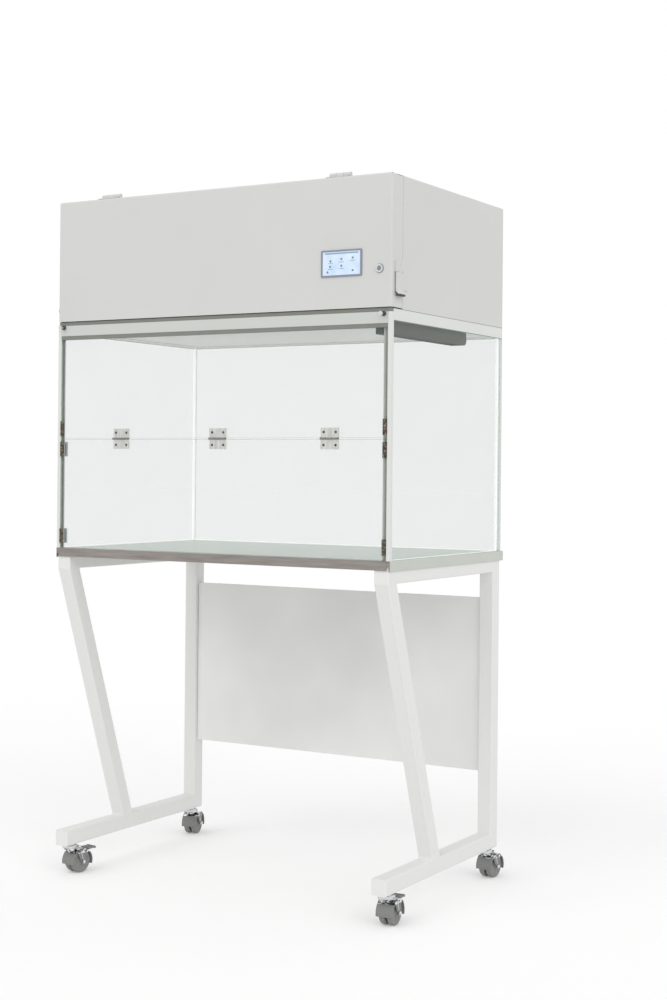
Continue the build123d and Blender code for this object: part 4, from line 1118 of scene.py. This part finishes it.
# %% Latch pads, painted shadow
pad_long, pad_wide, pad_thick = 32 * MM, 8 * MM, 4.5 * MM
pad_inset, pad_drop = 4.4 * MM, 3.5 * MM
for side, name in zip(sides, ("left", "right")):
    lever_low, lever_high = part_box(name + "_latch_lever")
    outer = max(abs(lever_low.x), abs(lever_high.x))
    # The dark pad is painted shadow under the latch lip.
    shadow_pad = plate(pad_long, pad_wide, pad_thick, corner=1.5 * MM, edge=0.8 * MM)
    place = aim((side * (outer - pad_inset), lever_low.y + 17 * MM, lever_low.z - pad_drop),
                upward, rearward)
    bmesh.ops.transform(shadow_pad, matrix=place, verts=shadow_pad.verts)
    finish_piece(shadow_pad, name + "_latch_pad", name + "_latch", "gasket", dark_rubber)

# %% [markdown]
# ## Screws of the cover's hinges
#
# The cover's hinges are screwed down through their leaves.  Fixed leaves ride with the cabinet
# and moving leaves with the cover, so the screws are two pieces.  The recipe is that of the dark
# screws, with a smaller head and in chrome.

# %% Cover hinge screws
fixed_low, fixed_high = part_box("cover_hinge_fixed_leaves")
leaf_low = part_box("cover_hinge_moving_leaves")[0]
leaf_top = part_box("plenum_housing")[1].z + 2 * MM
half_leaf, leaf_inset, leaf_spread = 29 * MM, 6.5 * MM, 20 * MM
leaf_screw = 2.4 * MM


def leaf_row(y):
    """The places of three screws on both hinges' leaves."""
    return [(x + step * leaf_spread, y, leaf_top)
            for x in (fixed_low.x + half_leaf, fixed_high.x - half_leaf) for step in (-1, 0, 1)]


screws("cover_hinge_fixed_screws", "cabinet", leaf_row(fixed_high.y - leaf_inset), upward,
       slot="chrome", radius=leaf_screw)
screws("cover_hinge_moving_screws", "cover", leaf_row(leaf_low.y + leaf_inset), upward,
       slot="chrome", radius=leaf_screw)

# %% [markdown]
# ## The floor
#
# The hood stands on a plain pale floor, which takes its shadow.  Paint that is a little grey
# keeps light from bouncing up under the worktop.  What that takes from the floor's own look is
# given back by a faint glow, which Light Path shows to the camera and to mirrors alone, so that
# it lights nothing.

# %% Floor
floor_glow = 0.185
black, white = (0, 0, 0, 1), (1, 1, 1, 1)
floor_mesh = bpy.data.meshes.new("floor")
floor_shape = bmesh.new()
bmesh.ops.create_grid(floor_shape, x_segments=1, y_segments=1, size=60.0)
floor_shape.to_mesh(floor_mesh)
floor_shape.free()
floor = bpy.data.objects.new("floor", floor_mesh)
bpy.context.scene.collection.objects.link(floor)

ground = Finish("pale_floor", Roughness=1.0, Specular_IOR_Level=0.0,
                Base_Color=(0.88, 0.88, 0.88, 1), Emission_Strength=floor_glow)
seen = larger(ground.ray("Camera"), ground.ray("Glossy"))
ground.set(Emission_Color=ground.blend(seen, black, white))
floor_mesh.materials.append(ground.material)
print("floor", tuple(round(v) for v in floor.dimensions[:2]), "m, glow", floor_glow)

# %% [markdown]
# ## The room and its lamps
#
# The world gives even light from all round, and two wide, soft suns give the front and the right
# side a little more than the rest.  Together they add up to about full white, so that a colour
# renders about as it is written.  The camera, mirrors and panes see a white room all the same:
# Light Path picks out their rays and gives them the full strength.

# %% World and lamps
even_light, white_room = 0.72, 1.0
world = bpy.data.worlds.new("room")
bpy.context.scene.world = world
room = Tree(world)
looked_at = larger(larger(room.ray("Camera"), room.ray("Glossy")), room.ray("Transmission"))
background = room.nodes["Background"]
room.put(background.inputs["Color"], white)
room.put(background.inputs["Strength"], even_light + (white_room - even_light) * looked_at)


def sun(name, towards, share, spread=50):
    """A wide sun that adds a share of full white to a surface that faces it."""
    lamp = bpy.data.lights.new(name, "SUN")
    lamp.energy = share * pi
    lamp.angle = radians(spread)
    thing = bpy.data.objects.new(name, lamp)
    thing.matrix_world = aim((0, 0, 5), towards)
    bpy.context.scene.collection.objects.link(thing)
    print(name, "adds", share)


sun("front_sun", (-0.3, -1.0, 0.9), 0.17)
sun("side_sun", (0.9, -0.5, 0.6), 0.20)

# %% [markdown]
